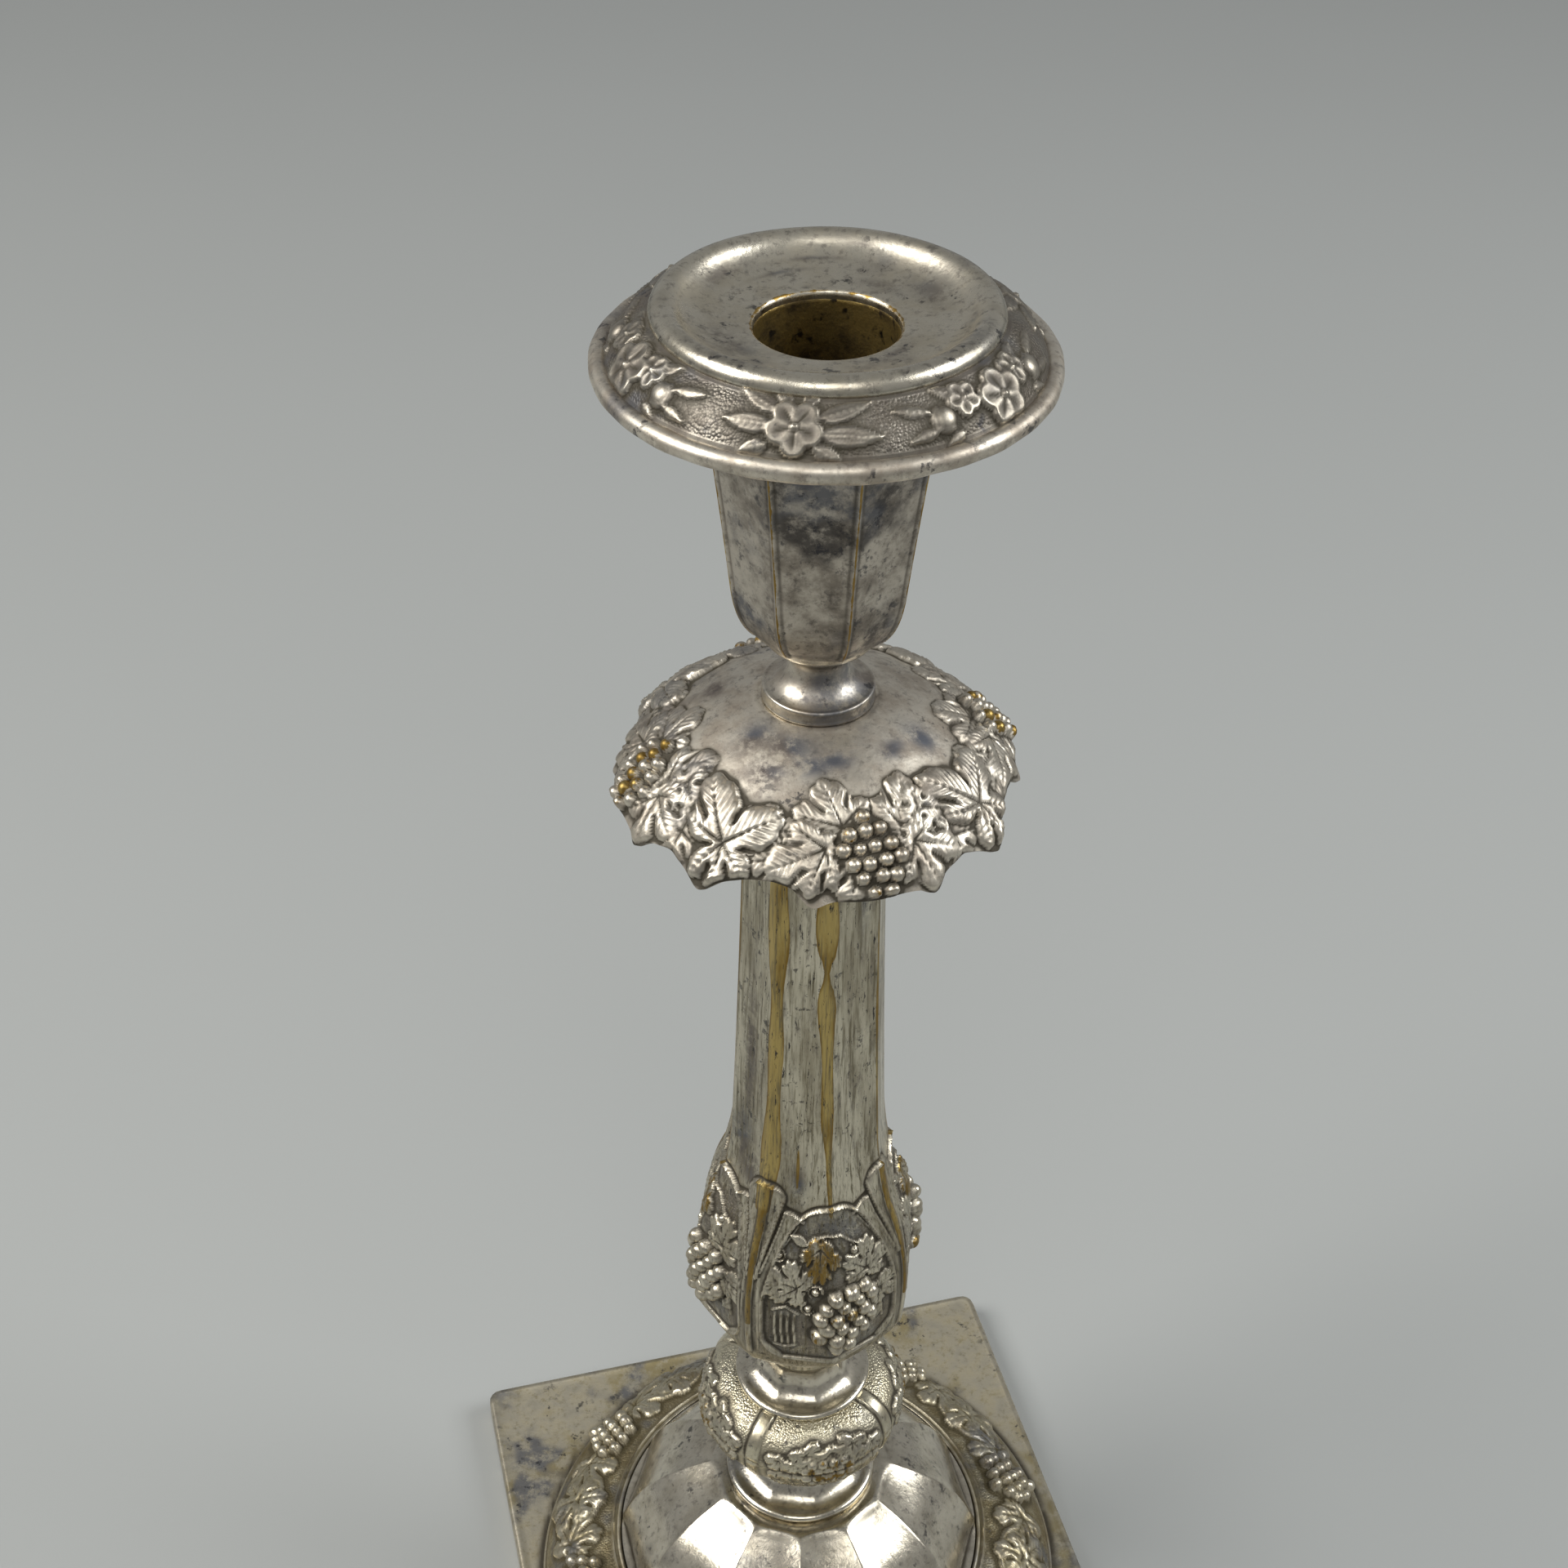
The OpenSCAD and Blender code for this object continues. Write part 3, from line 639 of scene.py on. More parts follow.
def build_base_plate():
    """Square pan: a slightly uneven sheet with a rolled edge, a skirt and a turned-in lip."""
    half, corner = FOOT_HALF, 3.0
    hole = RING_R - 4.0
    side = np.linspace(-1, 1, 80, endpoint=False)
    turns = ((1, 0), (0, 1), (-1, 0), (0, -1))
    square = np.concatenate([np.stack([c - s * side, s + c * side], 1) for c, s in turns])

    def loop(inset_by, z, rounding):
        """Rounded square of half width half - inset_by, pulled to a circle by rounding."""
        h = half - inset_by
        p = square * h
        c = max(corner - inset_by, 0.6)
        q = np.clip(np.abs(p), 0, h - c)
        away = np.abs(p) - q
        size = np.maximum(np.hypot(away[:, 0], away[:, 1]), 1e-9)
        at_corner = (away[:, 0] > 1e-9) & (away[:, 1] > 1e-9)
        p = np.where(at_corner[:, None], np.sign(p) * (q + away / size[:, None] * c), p)
        a = np.arctan2(p[:, 1], p[:, 0])
        circle = np.stack([hole * np.cos(a), hole * np.sin(a)], 1)
        p = p * (1 - rounding) + circle * rounding
        height = 0 * a + z
        if z > PLATE_TOP - 0.5:
            height = z - 0.12 + 0.12 * np.sin(3.1 * a + 0.4) * (1 - rounding)
        return np.stack([p[:, 0], p[:, 1], height], 1)

    # skirt, rolled edge, top sheet, its underside, inside of the skirt and lip
    loops = [loop(0, t, 0) for t in (PLATE_TOP - 3.2, PLATE_TOP - 1.4, PLATE_TOP - 0.8)]
    loops += [loop(0.25, PLATE_TOP - 0.3, 0), loop(0.8, PLATE_TOP, 0), loop(1.5, PLATE_TOP - 0.12, 0)]
    loops += [loop(2.2, PLATE_TOP - 0.25, k) for k in np.linspace(0.0, 1, 16)]
    loops += [loop(2.2, PLATE_TOP - 1.2, k) for k in np.linspace(1, 0, 6)]
    loops += [loop(1, z, 0) for z in (PLATE_TOP - 1.3, 1.2)] + [loop(4, z, 0) for z in (1.1, 0.0)]
    loops += [loop(0.5, 0.0, 0), loop(0.1, 0.3, 0), loop(0, 0.8, 0)]
    quads = grid_faces(len(loops), len(square), len(square))
    points = np.array(loops).reshape(-1, 3)
    x, y, z = points.T
    reach, from_middle = np.hypot(x, y), np.maximum(np.abs(x), np.abs(y))
    # Dark band on the plate round the foot of the vine ring: soiling at the joint plus painted contact shade.
    dirt_and_shade = soft_step(-np.abs(reach - RING_R - 0.4), -2.4, 0.0) * 0.9
    # Lighter rolled edge through the high mark: polish plus a painted highlight.
    high = np.where(from_middle > half - 1.0, 1.0, 0)
    below = np.where(z < PLATE_TOP - 1.0, 1.0, 0)
    marks = {
        "grime_and_shade": np.where(z > PLATE_TOP - 0.6, dirt_and_shade, 0), "high": high * 0.6, "wear": high * 0.1,
        "polish": high, "stipple": 0 * high, "stain": 0 * high,
        "inside": below * (from_middle < half - 0.6),
    }
    piece = make_mesh("foot_plate", points, quads, [], marks, 50)
    hang(piece, "base_plate", FOOT)


def build_vine_ring():
    """Sloping ring round the dome: eight bunches of grapes with leaves between, and two beads inside."""
    top = SHELF_Z - 0.1
    foot = PLATE_TOP
    bead_r = half_width("base_dome")
    rows = outline(
        [RING_R, foot], [RING_R, foot + 0.5],
        curve([RING_R - 0.4, foot + 1.1], [RING_R - 6.6, top - 3.0], [bead_r + 2.4, top - 0.9]),
        [bead_r + 1.9, top - 0.8], [bead_r + 0.3, top - 0.8], [bead_r + 0.1, top - 1.4], step=0.36,
    )
    shell = Shell(rows, 900)
    low, high = 1.3, shell.s[-1] - 2.6
    mid = (low + high) / 2
    motifs = (
        (10.5, mid - 0.3, 12, -60, 0, vine_leaf(9.6, 1.3, FIVE, seed=3)),
        (-10.5, mid - 0.3, 12, 60, 0, vine_leaf(9.6, 1.3, FIVE, seed=8)),
        (22.5, mid + 1.0, 12.5, 176, 0.15, vine_leaf(10.4, 1.5, FIVE)),
        (22.5, mid + 1.0, 10, 0, 0.25, vine_leaf(7.6, 1.5, THREE)),
        (15, mid + 3.4, 8, -60, 0, blade(7, 1.7, 1.2)),
        (-15, mid + 3.4, 8, 60, 0, blade(7, 1.7, 1.2)),
    )
    for k in range(8):
        shell.stamp_all(motifs, 45.0 * k)
        grapes(shell, 45.0 * k, mid - 5.2, [1, 3, 4, 4, 3], 1.5, lift=0.9, wear=0.35)
    field = soft_step(shell.S, low - 0.2, low + 0.6) * soft_step(high + 0.3 - shell.S, 0, 0.7)
    shell.H *= field
    shell.extra["stipple"][(shell.H <= 0.02) & (field > 0.5)] = 1.0
    shell.extra["stain"] += 0.9 * (shell.H < 0.35) * field
    for gap in (2.3, 1.0):
        shell.H += 0.5 * hill((shell.S - (shell.s[-1] - gap)) / 0.34)
    shell.H -= 0.45 * hill((shell.S - low + 0.1) / 0.45)
    shell.H += 0.2 * hill((shell.S - 0.7) / 0.35)
    shell.H[0] = 0
    shell.H[-1] = 0
    inner = [[bead_r - 2, top - 1.4], [bead_r - 5.6, top - 1.5], [bead_r - 5.6, top - 2.8],
        [bead_r + 1.4, top - 2.8]]
    slope = curve([bead_r + 1.8, top - 2.4], [RING_R - 7.4, top - 4.4], [RING_R - 1.6, foot], 8)
    close_shell("vine_ring_relief", "vine_ring", shell, np.concatenate([inner, slope]), RING, 80)


def build_dome():
    """Twelve flat gores with rounded heads, crisp edges between them and a smooth crown."""
    r0 = half_width("base_dome")
    rows = outline(
        [[r0, DOME_LOW]],
        curve([r0 - 0.2, DOME_LOW + 1.4], [r0 - 5, DOME_TOP - 8], [23.0, DOME_TOP - 1.6], 40),
        curve([23.0, DOME_TOP - 1.6], [20.5, DOME_TOP - 0.2], [18.5, DOME_TOP], 8),
        [[ROD_HOLE, DOME_TOP]], step=0.5,
    )
    shell = Shell(rows, 576)
    half = 15.0
    across = ((shell.phi + half) % (2 * half) - half) / half
    head = 19.4 + 1.1 * np.abs(across) ** 2
    gore = soft_step(shell.R, head[None, :] - 0.6, head[None, :] + 1.0)
    chord = shell.R * (1 - np.cos(np.radians(half)) / np.cos(np.radians(half * across))[None, :])
    steep = np.clip(np.abs(np.gradient(shell.z, shell.s)), 0, 1)[:, None]
    shell.H -= gore * (chord * (0.25 + steep) + 0.06 * (1 - across[None, :] ** 2))
    crest = hill((1 - np.abs(across)) * half / 0.5)[None, :] * gore
    shell.extra["wear"] = 0.15 * crest * soft_step(shell.R, 24, 30)
    shell.extra["polish"] += 1
    shell.H += 0.05 * np.sin(shell.phi * 0.21 + 1)[None, :] * np.sin(shell.S * 0.35)
    shell.H[0] = 0
    close_shell("dome_facets", "base_dome", shell, inner_of(rows, 14, 2.2), SMOOTH, 50)


def build_spool(name, node, rim_r, rim_h, neck, top_r):
    """Spool with a round rim below and an eight-sided flare above."""
    z, z_top = level(node), level(node, True)
    h = z_top - z
    rows = outline(
        [[ROD_HOLE, z, 0]], [[rim_r - 2.2, z, 0]], [[rim_r - 1.7, z + rim_h - 2.5, 0]],
        np.insert(arc((rim_r - 0.85, z + rim_h - 1.25), 0.85, -80, 80, 10), 2, 0, axis=1),
        [[rim_r - 1.0, z + rim_h - 0.3, 0]],
        curve([rim_r - 1.7, z + rim_h - 0.2, 0.5], [neck, z + rim_h + 0.8, 1], [neck, z + h * 0.82, 1], 30),
        [[top_r, z_top, 0]], step=0.3,
    )
    shell = Shell(rows, 288, sides=8, round_edge=3.0)
    shell.extra["polish"] += 1
    inner = [[top_r - 1, z_top], [neck - 1, z + h * 0.7], [4.3, z + rim_h], [ROD_HOLE, z + rim_h]]
    close_shell(name, node, shell, inner, SMOOTH, 50)


def build_knop():
    """Two struck shells with four plain straps, leaves above and a row of grapes at the widest."""
    rim, middle = KNOP_R, [KNOP_R - 0.5, KNOP_MID]
    lower = outline(
        [ROD_HOLE, KNOP_Z], curve([12, KNOP_Z], [rim - 0.6, KNOP_Z + 0.2], middle, 40), middle, step=0.4,
    )
    upper = outline(
        curve(middle, [rim - 0.8, KNOP_TOP - 0.2], [13, KNOP_TOP], 40), [13, KNOP_TOP],
        [ROD_HOLE, KNOP_TOP], step=0.4,
    )
    for name, node, rows, out in (
        ("knop_lower_relief", "knop_lower_shell", lower, -1),
        ("knop_upper_relief", "knop_upper_shell", upper, 1),
    ):
        shell = Shell(rows, 420)
        seam, turn = (0.0, 180) if out > 0 else (shell.s[-1], 0)
        motifs = [
            (-13, seam + out * 5.0, 7, turn + 24, 0, vine_leaf(5.6, 0.75, FIVE)),
            (17, seam + out * 5.4, 7, turn - 24, 0, vine_leaf(5.6, 0.75, FIVE, seed=6)),
            (3, seam + out * 5.0, 7, turn, 0, vine_leaf(5.0, 0.85, THREE)),
        ]
        for j in range(-3, 4):
            s = seam + out * (2.8 + 0.5 * (j % 2))
            motifs.append((9.5 * j, s, 5.5, turn + 7 * j, 0, vine_leaf(4.0, 0.95, THREE)))
        on = soft_step(shell.r[:, None], 12.5, 15)
        for k in range(4):
            a = 90.0 * k
            shell.stamp_all(motifs, a)
            for j in range(5):
                x = (j - 2) * 6.2
                shell.stamp(ball(1.2, 0.95), a + x, seam + out * 0.9, 3, lift=0.5, mark="wear", amount=0.42)
                if j < 4:
                    place = (a + x + 3.1, seam + out * 2.6, 3)
                    shell.stamp(ball(1.05, 0.95), *place, lift=0.5, mark="wear", amount=0.4)
            turned = np.abs((shell.phi - a - 45 + 180) % 360 - 180)[None, :]
            strap = turned * np.radians(1) * shell.r[:, None]
            band = np.clip(1 - (strap / 1.6) ** 6, 0, 1) * 0.3 * on
            shell.H = np.where(band > 0.02, np.maximum(band, 0.1 * shell.H), shell.H)
            shell.H -= 0.2 * hill((strap - 1.85) / 0.3) * on
        shell.extra["stipple"][(shell.H < 0.05) & (shell.r[:, None] > 14.5)] = 1.0
        fade = soft_step(np.abs(shell.S - seam), 0.0, 0.9)
        shell.H = np.minimum(shell.H, 1.35) * (0.35 + 0.65 * fade) * soft_step(shell.r[:, None], 11, 13.5)
        close_shell(name, node, shell, inner_of(rows, 14), KNOP, 85)


# ---------------------------------------------------------------- stem


def stem_rows():
    """Outline of the stem: spool-like foot, bulb, and a shaft that narrows upwards."""
    z, top = STEM_Z, STEM_TOP
    bulb, low = 23.3, 15.8
    foot, waist = [9.3, z, 0], [14.2, z + 9.8, 0]
    belly, brow, shoulder = [bulb - 1.1, z + 19.6, 0.9], [bulb - 0.2, z + 35, 1], [low + 2.8, z + 54, 1]
    shaft, end = [low, z + 71, 1], [12.9, top, 1]
    return outline(
        curve(foot, [9.4, z + 8.2, 0], waist),
        curve(waist, [bulb - 3.9, z + 11.6, 0.2], belly),
        curve(belly, [bulb + 0.1, z + 25.5, 1], brow),
        curve(brow, [bulb - 0.8, z + 45, 1], shoulder),
        curve(shoulder, [low + 0.9, z + 61, 1], shaft),
        curve(shaft, [low - 1.7, z + 110, 1], end, 60), [end],
        step=0.28, coarse=[(z + 74, top, 2.2)],
    )


def s_at(shell, z):
    """s of the shell at the height z."""
    return float(np.interp(z, shell.z, shell.s))


def decorate_bulb(shell):
    """Struck jacket of the bulb: four arched panels of grapes and leaves, and palmettes between them.

    Points of raised lines are (angle from a panel's middle or a corner, height above the stem's foot).
    """
    above = shell.z[:, None] - STEM_Z

    def s_of(height):
        return s_at(shell, STEM_Z + height)

    def draw(points, width, height, middle, taper=False):
        shell.line([(middle + w, s_of(z)) for w, z in points], width, height, taper)

    floor, waist, rise = 20.0, 43.0, 18.5
    panel_half, petal_half = 38.5, 3.9
    head = curve([0, 60], [32, 60.2], [panel_half, 37], 30)
    fillet = curve([panel_half, 28], [38, floor + 1], [27, floor], 12)
    turn = shell.phi % 90 - 45
    corner = np.abs(turn)[None, :]
    side = 45 - corner
    x = np.abs(np.radians(turn)[None, :] * shell.r[:, None])
    arch_top = np.interp(side, np.append(head[:, 0], panel_half), np.append(head[:, 1], floor))
    petal_top = 61.2 + 3.6 * np.sqrt(np.clip(1 - (x / petal_half) ** 2, 0, 1))
    border = np.where(x < petal_half, petal_top, np.maximum(59.2 - 0.12 * (corner - 12), arch_top))
    jacket = soft_step(border - above, -0.15, 0.3) * soft_step(above, 15, 17)
    shell.H = 0.5 * jacket
    shell.H -= 0.25 * hill((above - border - 0.7) / 0.5)
    t = np.clip((above - waist) / rise, 0, 1)
    half = 1.0 + 2.9 * t**1.25
    upper = (above > waist) & (above < border)
    dark = hill((x - half - 0.8) / 0.5) * soft_step(above, 45, 50) * (above < 59)
    shell.H -= 0.42 * dark
    shell.H += np.where(upper & (x < half), 0.2 * (x / half) ** 2, 0)
    ridge = np.where(above > waist, 0.75 + 0.4 * t, 0.7)
    flat = np.clip(1 - (x / ridge) ** 6, 0, 1) * (above > 20.5) * (above < border - 0.5)
    shell.H += 0.4 * flat
    panel = (above < arch_top - 0.3) & (above > floor + 0.4) & (side < panel_half)
    panel &= side < panel_half - 11 * soft_step(26 - above, 0, 6)
    shell.H = np.where(panel, 0.1, shell.H)
    kept = shell.H.copy()
    shell.H = np.where(panel, 0.1, 0.0)
    torn = [(0, 1.0, 30), (48, 0.6, 30), (-46, 0.7, 26)]
    motifs = (
        (-20, s_of(41.6), 9.5, 70, 0.15, vine_leaf(7.4, 0.95, FIVE, 0.14, 25)),
        (-31, s_of(42.6), 6, 84, 0.3, vine_leaf(5.0, 0.9, THREE, 0.14)),
        (20, s_of(43.5), 8.5, -8, 0.15, vine_leaf(7.4, 0.9, FIVE, 0.14, seed=5)),
        (27, s_of(36.5), 8, -120, 0.1, vine_leaf(6.4, 0.8, THREE, 0.12, seed=9)),
        (-15, s_of(51.6), 5, 58, 0.15, blade(4.2, 1.1, 0.7)),
        (22, s_of(43), 6, -50, 0.2, blade(5.4, 1.3, 0.8)),
        (24, s_of(27), 6, -30, 0, blade(5.0, 1.4, 0.7)),
    )
    slats = [[(w, 34.2), (w - 0.5, 30), (w + 0.5, 25)] for w in (-31.5, -28, -24.5, -21)]
    bars = [[(-33, 35), (-26, 36.2), (-19, 34.4)], [(-32, 24.4), (-26, 23.6), (-20, 24.6)],
        [(29, 33), (31, 27)]]
    vine = [(-15, 51.8), (-9, 53.3), (-2, 54.0), (6, 53.3), (13, 51.0), (19, 47.8), (23, 44.5)]
    # angle, height, size and first turn of each curl
    curls = ((-10, 41, 1.6, 0), (-14, 36.5, 1.5, 2), (14, 49, 1.6, 4), (31, 36, 1.5, 1), (-31, 49, 1.3, 3))
    for k in range(-2, 3):
        a = 90.0 * k
        shell.stamp(vine_leaf(8.2, 1.0, torn, 0.2, 27), a - 7, s_of(51.3), 10, 176, 0.35,
            mark="wear", amount=0.5)
        shell.stamp_all(motifs, a)
        for points in bars + slats:
            draw(points, 0.34, 0.55, a)
        for w, z, size, first in curls:
            turns = first + np.linspace(0, 4.4, 12)
            hook = [(w + 2.3 * size * np.cos(q), z + size * np.sin(q)) for q in turns]
            draw(hook, 0.42, 0.75, a, taper=True)
            shell.stamp(ball(0.5 * size, 1.1), a + w, s_of(z), 2, lift=0.3)
        draw(vine, 0.5, 0.6, a, taper=True)
        grapes(shell, a + 4.5, s_of(25.6), [2, 4, 4, 4, 4, 3], 1.62,
            lift=0.45, squash=1.0, wear=0.55, pitch=1.8)
    shell.extra["stipple"][panel & (shell.H < 0.13)] = 1.0
    shell.extra["stain"][panel & (shell.H < 0.3)] = 0.85
    spill = shell.H > 1.2
    shell.extra["wear"] *= panel | spill
    shell.H = np.where(panel | spill, np.maximum(shell.H, np.where(panel, 0, kept)), kept)
    r_top = np.interp(STEM_Z + 63, shell.z, shell.r)
    round_top = np.linspace(0.15, 1.57, 12)
    crown = [(np.degrees(petal_half * np.cos(q) / r_top), 61.5 + 3.2 * np.sin(q)) for q in round_top]
    edge = []
    for q in np.linspace(0, 1, 14):
        z = waist + rise * q
        edge.append((np.degrees((1.0 + 2.9 * q**1.25) / np.interp(STEM_Z + z, shell.z, shell.r)), z))
    beads = (
        # points, width, height and middle of each raised line, which is drawn to both sides
        ([*head, (panel_half, 37), (panel_half, 28)], 0.37, 0.75, 0),
        ([(panel_half, 28), *fillet, (27, floor), (0, floor - 0.4)], 0.45, 0.7, 0),
        (edge + crown, 0.42, 0.75, 45),
        ([(0.45 * w, z) for w, z in edge[1:-1]], 0.28, 0.35, 45),
        ([(4.6, 44.5), (9, 51), (14.5, 58.6), (20, 58.2), (27.5, 56.6)], 0.36, 0.6, 45),
        ([(6, 42.5), (15, 50.5), (24, 55.5)], 0.3, 0.35, 45),
        ([(4.4, 43), (4.6, 30), (4.6, 21.5)], 0.34, 0.5, 45),
    )
    for k in range(-2, 3):
        for way in (-1, 1):
            for points, width, height, middle in beads:
                draw([(way * w, z) for w, z in points], width, height, 90.0 * k + middle)
    wear = np.clip(1.25 - (x / ridge) ** 4, 0, 1) * (above > 21) * (above < border - 0.4)
    shell.extra["wear"] = np.maximum(shell.extra["wear"], wear * np.where(above > 30, 0.72, 0.4))


def wear_the_stem(shell):
    """Brass shows along the corners of the shaft in bands of uneven width; stains lie on its left side."""
    above = (shell.z - STEM_Z)[:, None]
    shaft = soft_step(above, 56, 60)
    # angle of the corner: (half width of its bare band, shift to larger angles)
    widths = {-180: (0.35, 0.0), -135: (2.0, 0.3), -90: (1.5, -0.8), -45: (0.3, 0.0), 0: (0.7, 0.0),
        45: (1.2, 0.3), 90: (1.0, 0.0), 135: (0.8, -0.2)}
    for k, (angle, (wide, shift)) in enumerate(widths.items()):
        x = shell.across(angle)
        phase = 1.7 * k
        width = wide * (0.85 + 0.2 * np.sin(above / 11.0 + phase) + 0.15 * np.sin(above / 4.3 + 2 * phase))
        if angle == -90:
            width = width * np.clip((above - 56) / 25, 0.25, 1) * (1 - 0.75 * hill((above - 120) / 4.0))
            width = width * (1 + 0.7 * hill((above - 130) / 7.0)) * np.clip((172 - above) / 25.0, 0.2, 1)
        middle = shift * np.clip((above - 60) / 20, 0, 1) + 0.3 * np.sin(above / 17.0 + phase)
        band = soft_step(width + 0.6 - np.abs(x - middle), 0, 1.2)
        shell.extra["wear"] = np.maximum(shell.extra["wear"], band * shaft)
    for phi, z, wide, tall in ((-165, 70, 4.5, 9), (-154, 65, 4, 6), (-160, 95, 2.4, 20),
        (-60, 140, 1.5, 12), (-112, 66, 1.6, 5), (30, 90, 4, 20)):
        shell.smear(phi, s_at(shell, STEM_Z + z), wide, tall, 1.1)
    shell.smear(-113, s_at(shell, STEM_Z + 70), 0.5, 7, 0.8, "wear")


def build_stem():
    """Two struck halves that meet along two corners."""
    rows = stem_rows()
    for name, node, start in (
        ("stem_left_relief", "stem_left_half", 45.0),
        ("stem_right_relief", "stem_right_half", 225.0),
    ):
        shell = Shell(rows, 265, start, start + 180.0, sides=8, round_edge=1.2)
        decorate_bulb(shell)
        wear_the_stem(shell)
        close_shell(name, node, shell, inner_of(rows, 24), STEM, 85)


# ---------------------------------------------------------------- canopy

# torn edge of a quarter of the canopy: angle from a bunch, s of the edge
RIM_KNOTS = [(0, 41.4), (9, 41.2), (14, 41.6), (17.5, 43.3), (21.5, 40.4), (30, 39.0), (37, 40.8),
    (42.5, 43.3), (48, 40.2), (55, 38.6), (62, 38.2), (68, 38.9), (73.5, 42.4), (79, 40.9), (85, 41.2),
    (90, 41.4)]


def build_canopy():
    """Sheet over part of a sphere, with a torn-leaf edge, vine leaves and four bunches of grapes."""
    sphere, seat_r, hole, mean_rim = 44.0, 10.4, 3.5, 41
    apex = NECK_Z + sphere - np.sqrt(sphere**2 - seat_r**2)
    s_seat = sphere * np.arcsin(seat_r / sphere)
    columns = 660
    t = np.concatenate([np.linspace(0, 0.3, 14, endpoint=False), np.linspace(0.3, 1, 84)])
    phi = np.linspace(0, 360, columns, endpoint=False)
    quarter = phi % 90
    knots = np.array(RIM_KNOTS)
    edge = np.interp(quarter, knots[:, 0], knots[:, 1])
    edge = blur(np.repeat(edge[None, :], 3, 0), 2, True)[1]
    s = s_seat + (edge[None, :] - s_seat) * t[:, None]
    along = s_seat + (mean_rim - s_seat) * t
    rows = np.stack([sphere * np.sin(along / sphere), 0 * t], 1)
    shell = Shell(rows, columns)
    shell.S = s
    shell.R = sphere * np.sin(s / sphere)
    shell.s = along
    big = [(-145, 1.19, 34), (-103, 0.84, 26), (130, 1.06, 38), (-28, 0.8, 25), (6, 0.9, 24),
        (50, 0.76, 32)]
    leaves = [
        # angle from the bunch, s, height, lift, lobes: 0 points to the rim, 90 to larger angles
        (14, 31, 0.9, 0.0, [(160, 0.97, 34), (205, 0.7, 30), (112, 0.75, 34)]),
        (-7, 28.8, 0.9, 0.0, [(-162, 0.88, 38), (133, 0.62, 36), (-106, 0.88, 38)]),
        (-33, 30.5, 0.8, 0.0, [(180, 0.5, 60), (-110, 0.6, 50), (100, 0.6, 50)]),
        (30, 35.5, 0.9, 0.0, [(0, 0.62, 50), (75, 0.6, 50), (-75, 0.6, 50), (180, 0.5, 60)]),
        (63, 34.5, 0.9, 0.0, [(0, 0.62, 50), (75, 0.7, 50), (-75, 0.6, 50), (180, 0.5, 60)]),
        (-2, 35, 1.0, 0.1, [(-24, 0.84, 30), (26, 0.84, 32), (70, 0.9, 30), (-80, 0.7, 34)]),
        (-12.3, 32.4, 1.15, 0.25, [(-125, 0.72, 30), (-67, 1.17, 33), (-23, 0.86, 26), (10, 0.7, 20)]),
        (16, 33.5, 1.1, 0.25, [(12, 0.95, 26), (-32, 0.72, 26), (62, 0.9, 30), (118, 0.5, 30)]),
        (22, 28.6, 1.0, 0.2, [(60, 0.5, 50), (-60, 0.42, 60), (180, 0.42, 60)]),
        (45, 34.2, 1.35, 0.45, big),
    ]
    for k in range(4):
        a0 = 90.0 * k
        for angle, out, height, lift, lobes in leaves:
            shape = vine_leaf(10.0, height * rng.uniform(0.92, 1.08), lobes, seed=angle + 31 * k)
            shell.stamp(shape, a0 + angle + rng.uniform(-0.8, 0.8), out, 13.5, lift=lift)
        grapes(shell, a0 + 0.4, 27.8, [1, 3, 4, 4, 3, 2, 1], 1.26,
            lift=0.8, squash=1.1, wear=0.72, pitch=1.95)
        for points in (
            [(a0 + 26 + 3.0 * np.cos(q), 33.0 + 1.6 * np.sin(q)) for q in np.linspace(0, 4.6, 16)],
            [(a0 + 68 + 6 * q, 32 - 3 * q * q) for q in np.linspace(-1, 1, 10)],
        ):
            shell.line(points, 0.5, 0.6)
    # angle, s, width and height of each stain
    for patch in ((-131, 20, 5.2, 5.4), (-126, 15, 6, 3.4), (-110, 18, 6, 2.4), (-96, 17, 4, 2),
        (-60, 18, 3, 2), (-150, 16, 3, 5), (-40, 20, 3, 4), (60, 20, 4, 3), (150, 19, 3, 3)):
        shell.smear(*patch, 1.25)
    shell.H = np.minimum(shell.H, 3.2)
    lip = soft_step(edge[None, :] - s, 0.0, 1.1)
    shell.H = shell.H * (0.25 + 0.75 * lip)
    swell = 0.25 * np.sin(np.radians(4 * phi))[None, :] * soft_step(s, 14, 30)
    shell.H += swell
    reach = np.radians(s / sphere * 180 / np.pi)
    turn = np.radians(phi)
    scale = 1 + shell.H / sphere
    middle = apex - sphere
    top = around(sphere * np.sin(reach) * scale, turn[None, :], middle + sphere * np.cos(reach) * scale)
    out = np.hypot(top[..., 0], top[..., 1])
    top[..., :2] *= np.minimum(1, half_width("canopy") / out)[..., None]
    seat = [around(r, turn, NECK_Z - 0.05) for r in (hole, seat_r - 0.4)]
    under = []
    for u in np.linspace(1, 0, 14):
        su = (s_seat + (edge - s_seat) * u) / sphere
        ball_r = sphere - SHEET + (0.35 * shell.H[-1] if u == 1 else 0)
        under.append(around(ball_r * np.sin(su), turn, middle + ball_r * np.cos(su)))
    under.append(around(hole, turn, NECK_Z - SHEET))
    points = np.concatenate([np.array(seat), top, np.array(under)])
    m, n = points.shape[:2]
    quads = grid_faces(m, n, n)[:, [1, 0, 3, 2]]
    grime_and_shade, high = relief_marks(shell, 0.35)
